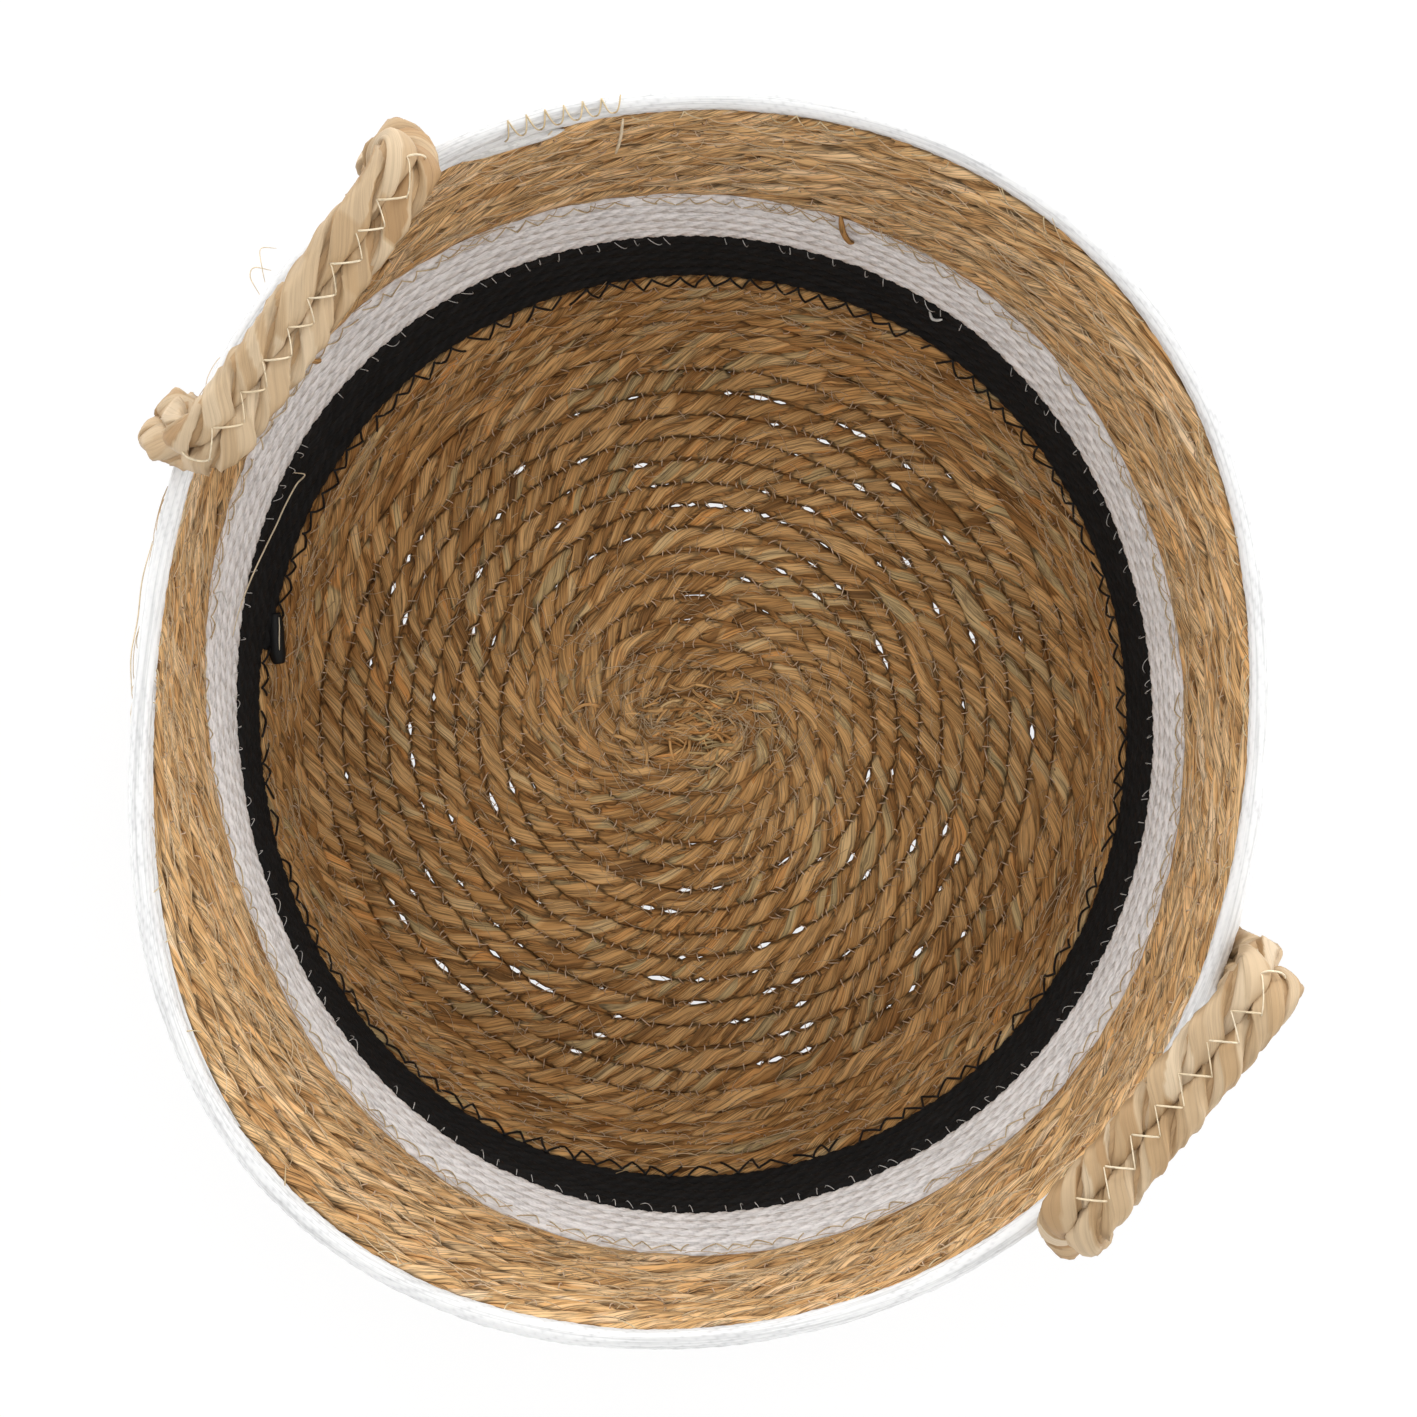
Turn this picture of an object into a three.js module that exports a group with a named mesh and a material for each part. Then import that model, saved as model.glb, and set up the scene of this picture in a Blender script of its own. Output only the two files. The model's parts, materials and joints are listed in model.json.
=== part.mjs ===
// Round basket of coiled rope: straw base and wall, black and white bands, a white rim, two rope handles.
// Millimetres, +Z up. The origin is the middle of the base's underside. The handles stand near the X axis.
import * as THREE from 'three';

// Ropes: row spacing, thickness through the wall and width of the side that is pressed flat
const STRAW = { pitch: 8, thickness: 7, flat: 4.6 };
const CORD = { pitch: 5.6, thickness: 5.2, flat: 3.2 };
const ROW_GAP = 0.7;
const STEPS_PER_TURN = 20;

// Flat part of the base, and the turns of each rope that goes on from it up to the rim
const BASE_DIAMETER = 256.8;
const LOWER_WALL_TURNS = 7;
const BLACK_TURNS = 5;
const WHITE_TURNS = 5;
const UPPER_WALL_TURNS = 8;
const RIM_TURNS = 1.2;
const COIL_START_ANGLE = 28;
const COIL_EYE_RADIUS = 0.4;

// Wall: rounded foot, and its lean from upright at the foot and at the rim
const FOOT_RADIUS = 14;
const LEAN_AT_FOOT = 14;
const LEAN_AT_RIM = 6.5;

// How far the soft wall is out of round at its mouth and at its waist: size, direction in degrees, lobes
const MOUTH_SWAY = { size: 2.3, angle: 91, lobes: 1 };
const MOUTH_OVAL = { size: 10, angle: -65, lobes: 2 };
const MOUTH_TRIANGLE = { size: 1.5, angle: 27, lobes: 3 };
const MOUTH_SQUARE = { size: 2.8, angle: -8, lobes: 4 };
const WAIST_SWAY = { size: 1.6, angle: 166, lobes: 1 };
const WAIST_OVAL = { size: 6.6, angle: -4, lobes: 2 };
const WAIST_TRIANGLE = { size: 2.4, angle: -48, lobes: 3 };
const WAIST_SQUARE = { size: 1.6, angle: 28, lobes: 4 };
// Makes height squared times the height left reach 1 where it is greatest, at two thirds of the wall
const WAIST_PEAK = 27 / 4;

// Handles: two ropes sewn side by side into a band, its loop and sewn ends, and the clearances round its hinge
const BAND_WIDTH = 18;
const BAND_THICKNESS = 9;
const BAND_EDGE = 4;
const BAND_FACE = 4;
const BAND_GROOVE = 1.3;
const LOOP_LENGTH = 174;
const LOOP_CORNER_RADIUS = 14;
const LEG_TWIST_START = 10;
const SEWN_LENGTH = 38;
const SEWN_TAIL_WIDTH = 21;
const SEWN_TAIL_THICKNESS = 5;
const SEAT_CLEARANCE = 0.3;
const RIM_CLEARANCE = 0.5;
const SWING_CLEARANCE = 0.4;
const RIGHT_HANDLE = { name: 'right_handle', angle: 0, span: 84, lean: 11, turn: -5 };
const LEFT_HANDLE = { name: 'left_handle', angle: 172, span: 95, lean: 30, turn: 3 };

// Threads
const THREAD_RADIUS = 0.4;
const STITCHES_PER_STEP = 3;
const HANDLE_STITCH_SPACING = 10.6;
const HANDLE_STITCH_WIDTH = 8;

// Fineness of the solids and of the measuring
const SEWN_SECTIONS = 4;
const TWIST_SECTIONS = 5;
const CORNER_SECTIONS = 4;
const LEG_ROUNDING = [84, 60, 30, 0];
const GAP_POINTS = 6;
const SLOPE_STEP = 1;

const UP = new THREE.Vector3(0, 0, 1);
const radians = THREE.MathUtils.degToRad;

const straw = new THREE.MeshStandardMaterial({ color: 0xb08a58, roughness: 0.85, metalness: 0 });
const blackCord = new THREE.MeshStandardMaterial({ color: 0x161414, roughness: 0.9, metalness: 0 });
const whiteCord = new THREE.MeshStandardMaterial({ color: 0xd8d4d5, roughness: 0.9, metalness: 0 });
const paleStraw = new THREE.MeshStandardMaterial({ color: 0xc8af8c, roughness: 0.8, metalness: 0 });
const tanThread = new THREE.MeshStandardMaterial({ color: 0xa88a58, roughness: 0.7, metalness: 0 });
const blackThread = new THREE.MeshStandardMaterial({ color: 0x141212, roughness: 0.7, metalness: 0 });
const whiteThread = new THREE.MeshStandardMaterial({ color: 0xe8e6e4, roughness: 0.7, metalness: 0 });
const paleThread = new THREE.MeshStandardMaterial({ color: 0xebd7b4, roughness: 0.7, metalness: 0 });

// The ropes follow one another along a single coil, so each one starts at the step where the last one ends
const coilStart = STRAW.pitch / 2 + COIL_EYE_RADIUS;
const baseTurns = (BASE_DIAMETER / 2 - coilStart) / STRAW.pitch;
const ropes = [
  { name: 'base_coil', turns: baseTurns, rope: STRAW, material: straw },
  { name: 'lower_wall_rope', turns: LOWER_WALL_TURNS, rope: STRAW, material: straw },
  { name: 'black_rope', turns: BLACK_TURNS, rope: CORD, material: blackCord },
  { name: 'white_rope', turns: WHITE_TURNS, rope: CORD, material: whiteCord },
  { name: 'upper_wall_rope', turns: UPPER_WALL_TURNS, rope: STRAW, material: straw },
  { name: 'rim_rope', turns: RIM_TURNS, rope: CORD, material: whiteCord },
];
let stepCount = 0;
for (const entry of ropes) {
  entry.firstStep = stepCount;
  stepCount += Math.round(entry.turns * STEPS_PER_TURN);
  entry.lastStep = stepCount;
}
const ropeNamed = (name) => ropes.find((entry) => entry.name === name);

function ropeAtStep(step) {
  const inside = THREE.MathUtils.clamp(step, 0, stepCount - 1);
  return ropes.find((entry) => inside < entry.lastStep).rope;
}

// Distance along the base and wall at each step. A row rises by the mean pitch of the ropes beside it.
const reach = [coilStart];
for (let step = 0; step < stepCount + STEPS_PER_TURN; step += 1) {
  const own = ropeAtStep(step).pitch;
  const below = (own + ropeAtStep(step - STEPS_PER_TURN).pitch) / 2;
  const above = (own + ropeAtStep(step + STEPS_PER_TURN).pitch) / 2;
  reach.push(reach[step] + Math.max(below, above) / STEPS_PER_TURN);
}
const flatReach = reach[ropeNamed('base_coil').lastStep];
const footAngle = radians(90 - LEAN_AT_FOOT);
const footReach = flatReach + FOOT_RADIUS * footAngle;
const rimReach = reach[stepCount];

// Adds to a point of the profile the chord of an arc that starts at an angle and turns by another one
function alongArc(point, angle, turn, length) {
  const half = turn / 2;
  const chord = half === 0 ? length : (length * Math.sin(half)) / half;
  return {
    r: point.r + chord * Math.cos(angle + half),
    z: point.z + chord * Math.sin(angle + half),
    angle: angle + turn,
  };
}

// Middle line of the base and wall in one half plane: flat base, rounded foot, gently curved wall
function profile(distance) {
  const flat = alongArc({ r: 0, z: STRAW.thickness / 2 }, 0, 0, Math.min(distance, flatReach));
  if (distance <= flatReach) return flat;
  const footLength = Math.min(distance, footReach) - flatReach;
  const foot = alongArc(flat, 0, footLength / FOOT_RADIUS, footLength);
  if (distance <= footReach) return foot;
  const wallLength = distance - footReach;
  const wallTurn = radians(LEAN_AT_FOOT - LEAN_AT_RIM) * (wallLength / (rimReach - footReach));
  return alongArc(foot, footAngle, wallTurn, wallLength);
}

// How far the wall stands out of round at an angle and a distance along it
function outOfRound(angle, distance) {
  const height = THREE.MathUtils.clamp((distance - footReach) / (rimReach - footReach), 0, 1);
  const wave = (shape) => shape.size * Math.cos(shape.lobes * (angle - radians(shape.angle)));
  const mouth = Math.sin((Math.PI / 2) * height);
  const waist = WAIST_PEAK * height * height * (1 - height);
  const mouthWaves = [MOUTH_SWAY, MOUTH_OVAL, MOUTH_TRIANGLE, MOUTH_SQUARE].map(wave);
  const waistWaves = [WAIST_SWAY, WAIST_OVAL, WAIST_TRIANGLE, WAIST_SQUARE].map(wave);
  const sum = (total, value) => total + value;
  return mouth * mouthWaves.reduce(sum) + waist * waistWaves.reduce(sum);
}

// A point of the wall on a whole step: across = along the wall, inward = through it towards the inside
function pointOnStep(step, distance, across, inward) {
  const angle = radians(COIL_START_ANGLE) - (step * 2 * Math.PI) / STEPS_PER_TURN;
  const middle = profile(distance);
  const swell = outOfRound(angle, distance + SLOPE_STEP) - outOfRound(angle, distance);
  const slope = Math.atan2(Math.sin(middle.angle), Math.cos(middle.angle) + swell / SLOPE_STEP);
  const run = Math.cos(slope);
  const rise = Math.sin(slope);
  const r = middle.r + outOfRound(angle, distance) + across * run - inward * rise;
  const z = Math.max(middle.z + across * rise + inward * run, 0);
  return new THREE.Vector3(r * Math.cos(angle), r * Math.sin(angle), z);
}

// The same between two steps, on the straight facet that joins them
function pointOnWall(step, distance, across, inward) {
  const first = Math.floor(step);
  const start = pointOnStep(first, distance, across, inward);
  return start.lerp(pointOnStep(first + 1, distance, across, inward), step - first);
}

function reachAt(step) {
  const first = Math.floor(step);
  return THREE.MathUtils.lerp(reach[first], reach[first + 1], step - first);
}

// Joins rings of points into one closed body, with a fan of triangles over each end
function tubeGeometry(rings) {
  const sides = rings[0].length;
  const indices = [];
  for (let ring = 0; ring + 1 < rings.length; ring += 1) {
    for (let side = 0; side < sides; side += 1) {
      const next = (side + 1) % sides;
      const a = ring * sides + side;
      const b = ring * sides + next;
      indices.push(a, b, b + sides, a, b + sides, a + sides);
    }
  }
  const last = (rings.length - 1) * sides;
  for (let side = 1; side + 1 < sides; side += 1) {
    indices.push(0, side + 1, side, last, last + side, last + side + 1);
  }
  const geometry = new THREE.BufferGeometry();
  geometry.setFromPoints(rings.flat());
  geometry.setIndex(indices);
  geometry.computeVertexNormals();
  return geometry;
}

// Section of a rope: pressed flat on the outside, widest against its neighbours, ridged on the inside
function ropeSection(rope) {
  const width = rope.pitch - ROW_GAP;
  const side = rope.thickness / 2;
  return [
    [rope.flat / 2, -side],
    [width / 2, 0],
    [0, side],
    [-width / 2, 0],
    [-rope.flat / 2, -side],
  ];
}

function ropeRing(step, rope) {
  return ropeSection(rope).map(([across, inward]) => pointOnWall(step, reachAt(step), across, inward));
}

// Steps of one rope. Its two cut ends stay half a row gap short of its neighbours' ends.
function ropeSteps(entry) {
  const trim = (step) => ((ROW_GAP / 2) * STEPS_PER_TURN) / (2 * Math.PI * profile(reach[step]).r);
  const steps = [entry.firstStep + trim(entry.firstStep)];
  for (let step = entry.firstStep + 1; step < entry.lastStep; step += 1) steps.push(step);
  steps.push(entry.lastStep - trim(entry.lastStep));
  return steps;
}

// Points spread over the outline of a rope's section at one step
function outlinePoints(step, rope) {
  const ring = ropeRing(step, rope);
  return ring.flatMap((corner, index) => {
    const next = ring[(index + 1) % ring.length];
    return Array.from({ length: GAP_POINTS }, (_, part) => corner.clone().lerp(next, part / GAP_POINTS));
  });
}

// Least distance from each row of a rope to its own next row
function leastGap(entry) {
  let least = Infinity;
  for (const step of ropeSteps(entry)) {
    if (step + STEPS_PER_TURN > entry.lastStep) break;
    const row = outlinePoints(step, entry.rope);
    const nextRow = outlinePoints(step + STEPS_PER_TURN, entry.rope);
    for (const point of row) {
      for (const other of nextRow) least = Math.min(least, point.distanceTo(other));
    }
  }
  return least;
}

function ropeMesh(entry) {
  const rings = ropeSteps(entry).map((step) => ropeRing(step, entry.rope));
  const mesh = new THREE.Mesh(tubeGeometry(rings), entry.material);
  mesh.name = entry.name;
  console.log(`${entry.name}: least gap to itself ${leastGap(entry).toFixed(2)} mm`);
  return mesh;
}

// Three-sided section of a thread, turned with a flat side away from what it lies on
function threadRing(centre, across, outward) {
  return [0, 1, 2].map((corner) => {
    const angle = (corner * 2 * Math.PI) / 3;
    return centre.clone()
      .addScaledVector(outward, THREAD_RADIUS * Math.cos(angle))
      .addScaledVector(across, -THREAD_RADIUS * Math.sin(angle));
  });
}

// Zigzag thread on the inside, from the last row of one rope to the first row of the next
function seamThread(name, lowerName, upperName, material) {
  const lower = ropeNamed(lowerName);
  const upper = ropeNamed(upperName);
  const lift = SEAT_CLEARANCE + THREAD_RADIUS;
  const rings = [];
  const count = 2 * STITCHES_PER_STEP * (STEPS_PER_TURN - 2);
  for (let stitch = 0; stitch <= count; stitch += 1) {
    const step = upper.firstStep + 1 + stitch / (2 * STITCHES_PER_STEP);
    const isUpper = stitch % 2 === 1;
    const row = isUpper ? step : step - STEPS_PER_TURN;
    const rope = isUpper ? upper.rope : lower.rope;
    const inward = rope.thickness / 2 + lift;
    const centre = pointOnWall(row, reachAt(row), 0, inward);
    const across = pointOnWall(row, reachAt(row), 1, inward).sub(centre);
    const outward = pointOnWall(row, reachAt(row), 0, inward + 1).sub(centre);
    rings.push(threadRing(centre, across, outward));
  }
  const mesh = new THREE.Mesh(tubeGeometry(rings), material);
  mesh.name = name;
  return mesh;
}

// Section of the band: two ropes side by side, each with flat faces and a flat outer edge, and a groove between
function bandSection(width, thickness) {
  const ropeMiddle = width / 4;
  const face = ((BAND_FACE / BAND_WIDTH) * width) / 2;
  const edge = ((BAND_EDGE / BAND_THICKNESS) * thickness) / 2;
  const side = thickness / 2;
  const waist = side * (1 - BAND_GROOVE / (BAND_THICKNESS / 2));
  return [
    [0, waist],
    [face - ropeMiddle, side],
    [-face - ropeMiddle, side],
    [-width / 2, edge],
    [-width / 2, -edge],
    [-face - ropeMiddle, -side],
    [face - ropeMiddle, -side],
    [0, -waist],
    [ropeMiddle - face, -side],
    [ropeMiddle + face, -side],
    [width / 2, -edge],
    [width / 2, edge],
    [ropeMiddle + face, side],
    [ropeMiddle - face, side],
  ];
}

function bandRing(centre, across, outward, width, thickness) {
  return bandSection(width, thickness).map(([a, b]) => (
    centre.clone().addScaledVector(across, a).addScaledVector(outward, b)
  ));
}

const rimTop = profile(rimReach).z + CORD.pitch / 2;
const hingeHeight = rimTop + RIM_CLEARANCE + BAND_THICKNESS / 2;

const stepAtAngle = (angle) => (
  THREE.MathUtils.euclideanModulo(COIL_START_ANGLE - angle, 360) * (STEPS_PER_TURN / 360)
);

// Outer side of the straw wall at a height, found by halving the range of distances
function outerWallAt(step, height) {
  let low = flatReach;
  let high = rimReach + hingeHeight;
  while (high - low > high * Number.EPSILON) {
    const middle = (low + high) / 2;
    const isLow = pointOnWall(step, middle, 0, -STRAW.thickness / 2).z < height;
    low = isLow ? middle : low;
    high = isLow ? high : middle;
  }
  return pointOnWall(step, low, 0, -STRAW.thickness / 2);
}

// Direction of the wall's facet at a step and a height, and the way out of the basket there
function facetAxes(step, height) {
  const first = Math.floor(step);
  const along = outerWallAt(first + 1, height).sub(outerWallAt(first, height)).normalize();
  return { along, outward: along.clone().cross(UP).negate() };
}

// Middle of the band where it lies against the wall at a height
function bandOnWall(step, height, thickness) {
  const lean = radians(LEAN_AT_FOOT);
  const offset = SEAT_CLEARANCE / Math.cos(lean) + thickness / 2;
  return outerWallAt(step, height).addScaledVector(facetAxes(step, height).outward, offset);
}

// One end of a handle, sewn flat to the outside of the wall and tapering downwards
function sewnEnd(name, step) {
  const top = hingeHeight - BAND_THICKNESS / 2 - SWING_CLEARANCE;
  const parts = Array.from({ length: SEWN_SECTIONS + 1 }, (_, section) => section / SEWN_SECTIONS);
  const rings = parts.reverse().map((part) => {
    const width = THREE.MathUtils.lerp(BAND_WIDTH, SEWN_TAIL_WIDTH, part);
    const thickness = THREE.MathUtils.lerp(BAND_THICKNESS, SEWN_TAIL_THICKNESS, part);
    const height = top - part * SEWN_LENGTH;
    const { along, outward } = facetAxes(step, height);
    return bandRing(bandOnWall(step, height, thickness), along, outward, width, thickness);
  });
  const mesh = new THREE.Mesh(tubeGeometry(rings), paleStraw);
  mesh.name = name;
  return mesh;
}

// Middle line of a handle's loop, upright on its hinge line: x along the hinge, y out of the basket, z up
function loopStations(span, turn) {
  const rise = (LOOP_LENGTH - span) / 2;
  const half = span / 2;
  const round = BAND_THICKNESS / 2;
  const stations = [];
  const add = (x, z, tilt, twist, thickness) => stations.push({ x, z, tilt, twist, thickness });
  for (const angle of LEG_ROUNDING) {
    add(-half, -round * Math.sin(radians(angle)), 0, 0, BAND_THICKNESS * Math.cos(radians(angle)));
  }
  const legTop = rise - LOOP_CORNER_RADIUS;
  for (let part = 0; part <= TWIST_SECTIONS; part += 1) {
    const share = part / TWIST_SECTIONS;
    add(-half, THREE.MathUtils.lerp(LEG_TWIST_START, legTop, share), 0, share, BAND_THICKNESS);
  }
  for (let part = 1; part <= CORNER_SECTIONS; part += 1) {
    const angle = (Math.PI / 2) * (part / CORNER_SECTIONS);
    const x = -half + LOOP_CORNER_RADIUS * (1 - Math.cos(angle));
    add(x, legTop + LOOP_CORNER_RADIUS * Math.sin(angle), angle, 1, BAND_THICKNESS);
  }
  const mirrored = stations.map((station) => ({ ...station, x: -station.x, isFar: true })).reverse();
  const turnShare = (z) => Math.max((z - LEG_TWIST_START) / (rise - LEG_TWIST_START), 0);
  return [...stations, ...mirrored].map((station) => ({
    ...station,
    y: Math.tan(radians(turn)) * station.x * turnShare(station.z),
  }));
}

function loopRing(station) {
  const centre = new THREE.Vector3(station.x, station.y, station.z);
  const twist = (Math.PI / 2) * station.twist;
  const mirror = station.isFar ? -1 : 1;
  const level = Math.cos(twist) * Math.cos(station.tilt);
  const slope = -Math.cos(twist) * Math.sin(station.tilt);
  const across = new THREE.Vector3(mirror * level, Math.sin(twist), slope);
  const tangent = new THREE.Vector3(Math.sin(station.tilt), 0, mirror * Math.cos(station.tilt));
  return bandRing(centre, across, tangent.cross(across), BAND_WIDTH, station.thickness);
}

function loopMesh(handle) {
  const rings = loopStations(handle.span, handle.turn).map(loopRing);
  const mesh = new THREE.Mesh(tubeGeometry(rings), paleStraw);
  mesh.name = `${handle.name}_loop`;
  return mesh;
}

// Zigzag thread along the top of a handle's loop, over the groove between its two ropes
function loopStitch(handle) {
  const rise = (LOOP_LENGTH - handle.span) / 2;
  const reachX = handle.span / 2 - LOOP_CORNER_RADIUS;
  const count = 2 * Math.floor(reachX / HANDLE_STITCH_SPACING);
  const slope = Math.tan(radians(handle.turn));
  const rings = [];
  for (let stitch = -count; stitch <= count; stitch += 1) {
    const x = (stitch / 2) * HANDLE_STITCH_SPACING;
    const side = stitch % 2 === 0 ? 1 : -1;
    const y = slope * x + side * (HANDLE_STITCH_WIDTH / 2);
    const centre = new THREE.Vector3(x, y, rise + BAND_THICKNESS / 2 + SEAT_CLEARANCE + THREAD_RADIUS);
    rings.push(threadRing(centre, new THREE.Vector3(0, 1, 0), UP));
  }
  const mesh = new THREE.Mesh(tubeGeometry(rings), paleThread);
  mesh.name = `${handle.name}_stitch`;
  return mesh;
}

// A handle: two sewn ends on the wall and a loop that swings about the line through them
function handleGroup(handle) {
  const halfAngle = THREE.MathUtils.radToDeg(Math.asin(handle.span / 2 / profile(rimReach).r));
  const nearStep = stepAtAngle(handle.angle - halfAngle);
  const farStep = stepAtAngle(handle.angle + halfAngle);
  const near = bandOnWall(nearStep, hingeHeight, BAND_THICKNESS).setZ(hingeHeight);
  const far = bandOnWall(farStep, hingeHeight, BAND_THICKNESS).setZ(hingeHeight);
  const hinge = near.clone().sub(far);
  const span = hinge.length();
  const loop = { ...handle, span };

  const swing = new THREE.Group();
  swing.rotation.x = radians(handle.lean);
  swing.add(loopMesh(loop), loopStitch(loop));
  const seat = new THREE.Group();
  seat.position.copy(near).lerp(far, 0.5);
  seat.rotation.z = Math.atan2(hinge.y, hinge.x);
  seat.add(swing);

  const group = new THREE.Group();
  group.add(seat, sewnEnd(`${handle.name}_near_end`, nearStep), sewnEnd(`${handle.name}_far_end`, farStep));
  return group;
}

const basket = new THREE.Group();
for (const entry of ropes) basket.add(ropeMesh(entry));
basket.add(
  seamThread('black_seam_thread', 'lower_wall_rope', 'black_rope', blackThread),
  seamThread('white_seam_thread', 'black_rope', 'white_rope', whiteThread),
  seamThread('tan_seam_thread', 'white_rope', 'upper_wall_rope', tanThread),
  seamThread('rim_seam_thread', 'upper_wall_rope', 'rim_rope', tanThread),
);
basket.add(handleGroup(RIGHT_HANDLE), handleGroup(LEFT_HANDLE));

export default basket;
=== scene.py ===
"""A round basket of coiled straw rope, with a black and a white band, a white rim and two rope handles."""
import json
import math

import bpy
import numpy as np
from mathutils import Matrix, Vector


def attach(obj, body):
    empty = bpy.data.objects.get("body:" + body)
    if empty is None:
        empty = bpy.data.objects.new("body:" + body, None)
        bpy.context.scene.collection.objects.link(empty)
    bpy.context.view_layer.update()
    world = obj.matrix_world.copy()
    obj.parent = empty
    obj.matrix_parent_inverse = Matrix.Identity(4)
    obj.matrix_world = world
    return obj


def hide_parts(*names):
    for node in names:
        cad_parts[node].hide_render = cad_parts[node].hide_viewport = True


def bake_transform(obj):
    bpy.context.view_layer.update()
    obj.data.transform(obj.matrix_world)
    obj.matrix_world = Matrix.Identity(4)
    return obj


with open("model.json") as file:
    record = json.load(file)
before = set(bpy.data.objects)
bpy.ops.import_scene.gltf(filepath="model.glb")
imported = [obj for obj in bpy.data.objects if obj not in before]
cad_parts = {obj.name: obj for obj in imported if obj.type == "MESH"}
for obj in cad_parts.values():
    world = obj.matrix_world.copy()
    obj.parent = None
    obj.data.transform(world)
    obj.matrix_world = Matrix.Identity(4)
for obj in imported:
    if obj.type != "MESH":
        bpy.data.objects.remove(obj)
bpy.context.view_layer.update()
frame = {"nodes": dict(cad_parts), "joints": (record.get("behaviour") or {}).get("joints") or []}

MM = 0.001
TURN = 2 * math.pi

# Coil of ropes, as the frame has it: spacing of the rows and thickness through the wall
STRAW_PITCH = 8.0 * MM
STRAW_THICKNESS = 7.0 * MM
CORD_PITCH = 5.6 * MM
STEPS_PER_TURN = 20
BASE_RADIUS = 128.4 * MM
COIL_EYE_RADIUS = 0.4 * MM
COIL_START_ANGLE = math.radians(28)
WALL_TURNS = {
    "lower_wall_rope": 7,
    "black_rope": 5,
    "white_rope": 5,
    "upper_wall_rope": 8,
    "rim_rope": 1.2,
}
ROPE_PITCH = {
    "base_coil": STRAW_PITCH,
    "lower_wall_rope": STRAW_PITCH,
    "black_rope": CORD_PITCH,
    "white_rope": CORD_PITCH,
    "upper_wall_rope": STRAW_PITCH,
    "rim_rope": CORD_PITCH,
}
FOOT_RADIUS = 14 * MM
LEAN_AT_FOOT = math.radians(14)
LEAN_AT_RIM = math.radians(6.5)

# Waves that put the wall out of round: size, direction, lobes
MOUTH_WAVES = ((2.3, 91, 1), (10, -65, 2), (1.5, 27, 3), (2.8, -8, 4))
WAIST_WAVES = ((1.6, 166, 1), (6.6, -4, 2), (2.4, -48, 3), (1.6, 28, 4))
WAIST_PEAK = 27 / 4

# Middle of the base: the rope starts as a hairpin along one direction, which is also the camera's right
CORE_ANGLE = math.radians(38)
CORE_REACH = 60 * MM
CORE_STRETCH = 13 * MM
CORE_SHIFT = 5 * MM

# Fine steps for tangents, slopes and lengths along the coil
TANGENT_STEP = 0.02
SLOPE_STEP = 1 * MM
WALK_POINTS_PER_STEP = 16

# Straw rope: two plies twisted together, in parts of the rope's half width and half thickness
ROPE_HALF_WIDTH = 4.7 * MM
PLY_OFFSET = 0.46
PLY_RADIAL = 0.54
PLY_BELLY = 0.12
PLY_SIZE = 1.05
# How far the plies slant along the rope, for each length across it
PLY_SLANT = 0.25
# Where the painted shade in the creases between plies and in the seams between rows begins, and how wide it
# is
CREASE_TOP = 0.37
CREASE_DEPTH = 0.17
SEAM_AT = 0.89
SEAM_WIDTH = 0.14
# Straw ropes: spacing of the rings and half thickness
# Plies: length of one twist and how uneven it is, thickness along the rope, and bulge towards the next row
# Leaves round a ply: how flat each is, how far its edge stands over the next one, and how uneven they lie
BASE_ROPE = {
    "seed": 11, "spacing": 2.1 * MM, "half_thickness": 4.1 * MM,
    "lay": 23 * MM, "uneven": 0.62, "tangential": 0.76, "bulge": 1.25, "swell": 0.10, "sides": 16,
    "leaf_length": 35 * MM, "leaves_round": 3, "flatness": 0.3, "lap": 0.12, "rise": 0.14,
}
LOWER_ROPE = {
    **BASE_ROPE, "seed": 12, "spacing": 2.3 * MM, "half_thickness": 3.8 * MM,
    "lay": 34 * MM, "bulge": 1.6, "swell": 0.14, "rise": 0.2,
}
UPPER_ROPE = {**LOWER_ROPE, "seed": 13, "spacing": 2.4 * MM, "half_thickness": 3.5 * MM, "lay": 42 * MM}
HANDLE_ROPE = {
    "lay": 34 * MM, "uneven": 0.2, "tangential": 0.86, "bulge": 1.2, "swell": 0.12, "sides": 28,
    "leaf_length": 60 * MM, "leaves_round": 4, "flatness": 0.5, "lap": 0.2, "rise": 0.16,
}
# Length of a leaf in parts of the mean, and spare leaves at a rope's end
LEAF_LENGTHS = (0.4, 1.6)
SPARE_LEAVES = 8
# Turns a leaf's random number into another one, for its height
LEAF_SHUFFLE = 9.7
# Fine cords: spacing of the rings, ridges round the cord, length of one twist and depth of the ridges
BLACK_CORD = {
    "seed": 14, "spacing": 1.2 * MM, "lobes": 5, "lay": 28 * MM, "depth": 0.16,
    "half_width": 2.95 * MM, "half_thickness": 2.7 * MM,
}
WHITE_CORD = {**BLACK_CORD, "seed": 15, "depth": 0.14}
RIM_CORD = {
    "seed": 16, "spacing": 2.0 * MM, "lobes": 6, "lay": 40 * MM, "depth": 0.05,
    "half_width": 3.0 * MM, "half_thickness": 2.9 * MM,
}
SIDES_PER_LOBE = 4
# Random changes along ropes and cords: how large they are, and the length over which they come and go
TWIST_CHANGE = (0.25, 70 * MM)
UNEVEN_LENGTH_IN_LAYS = 0.7
PLY_SWELL_LENGTH = 13 * MM
PLY_SLOW_SWELL = (0.05, 40 * MM)
ROPE_DRIFT = (0.6 * MM, 14 * MM)
LEAF_DRIFT = (0.5, 45 * MM)
CORD_TWIST_CHANGE = (0.15, 30 * MM)
CORD_SWELL = (0.05, 9 * MM)
CORD_SLOW_SWELL = (0.04, 35 * MM)
CORD_SHADE_CHANGE = (0.25, 6 * MM)
# First row of the upper wall, which is pressed flat along its lower edge
LIP_FLATNESS = 0.45
LIP_FADE_STEPS = 3
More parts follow.
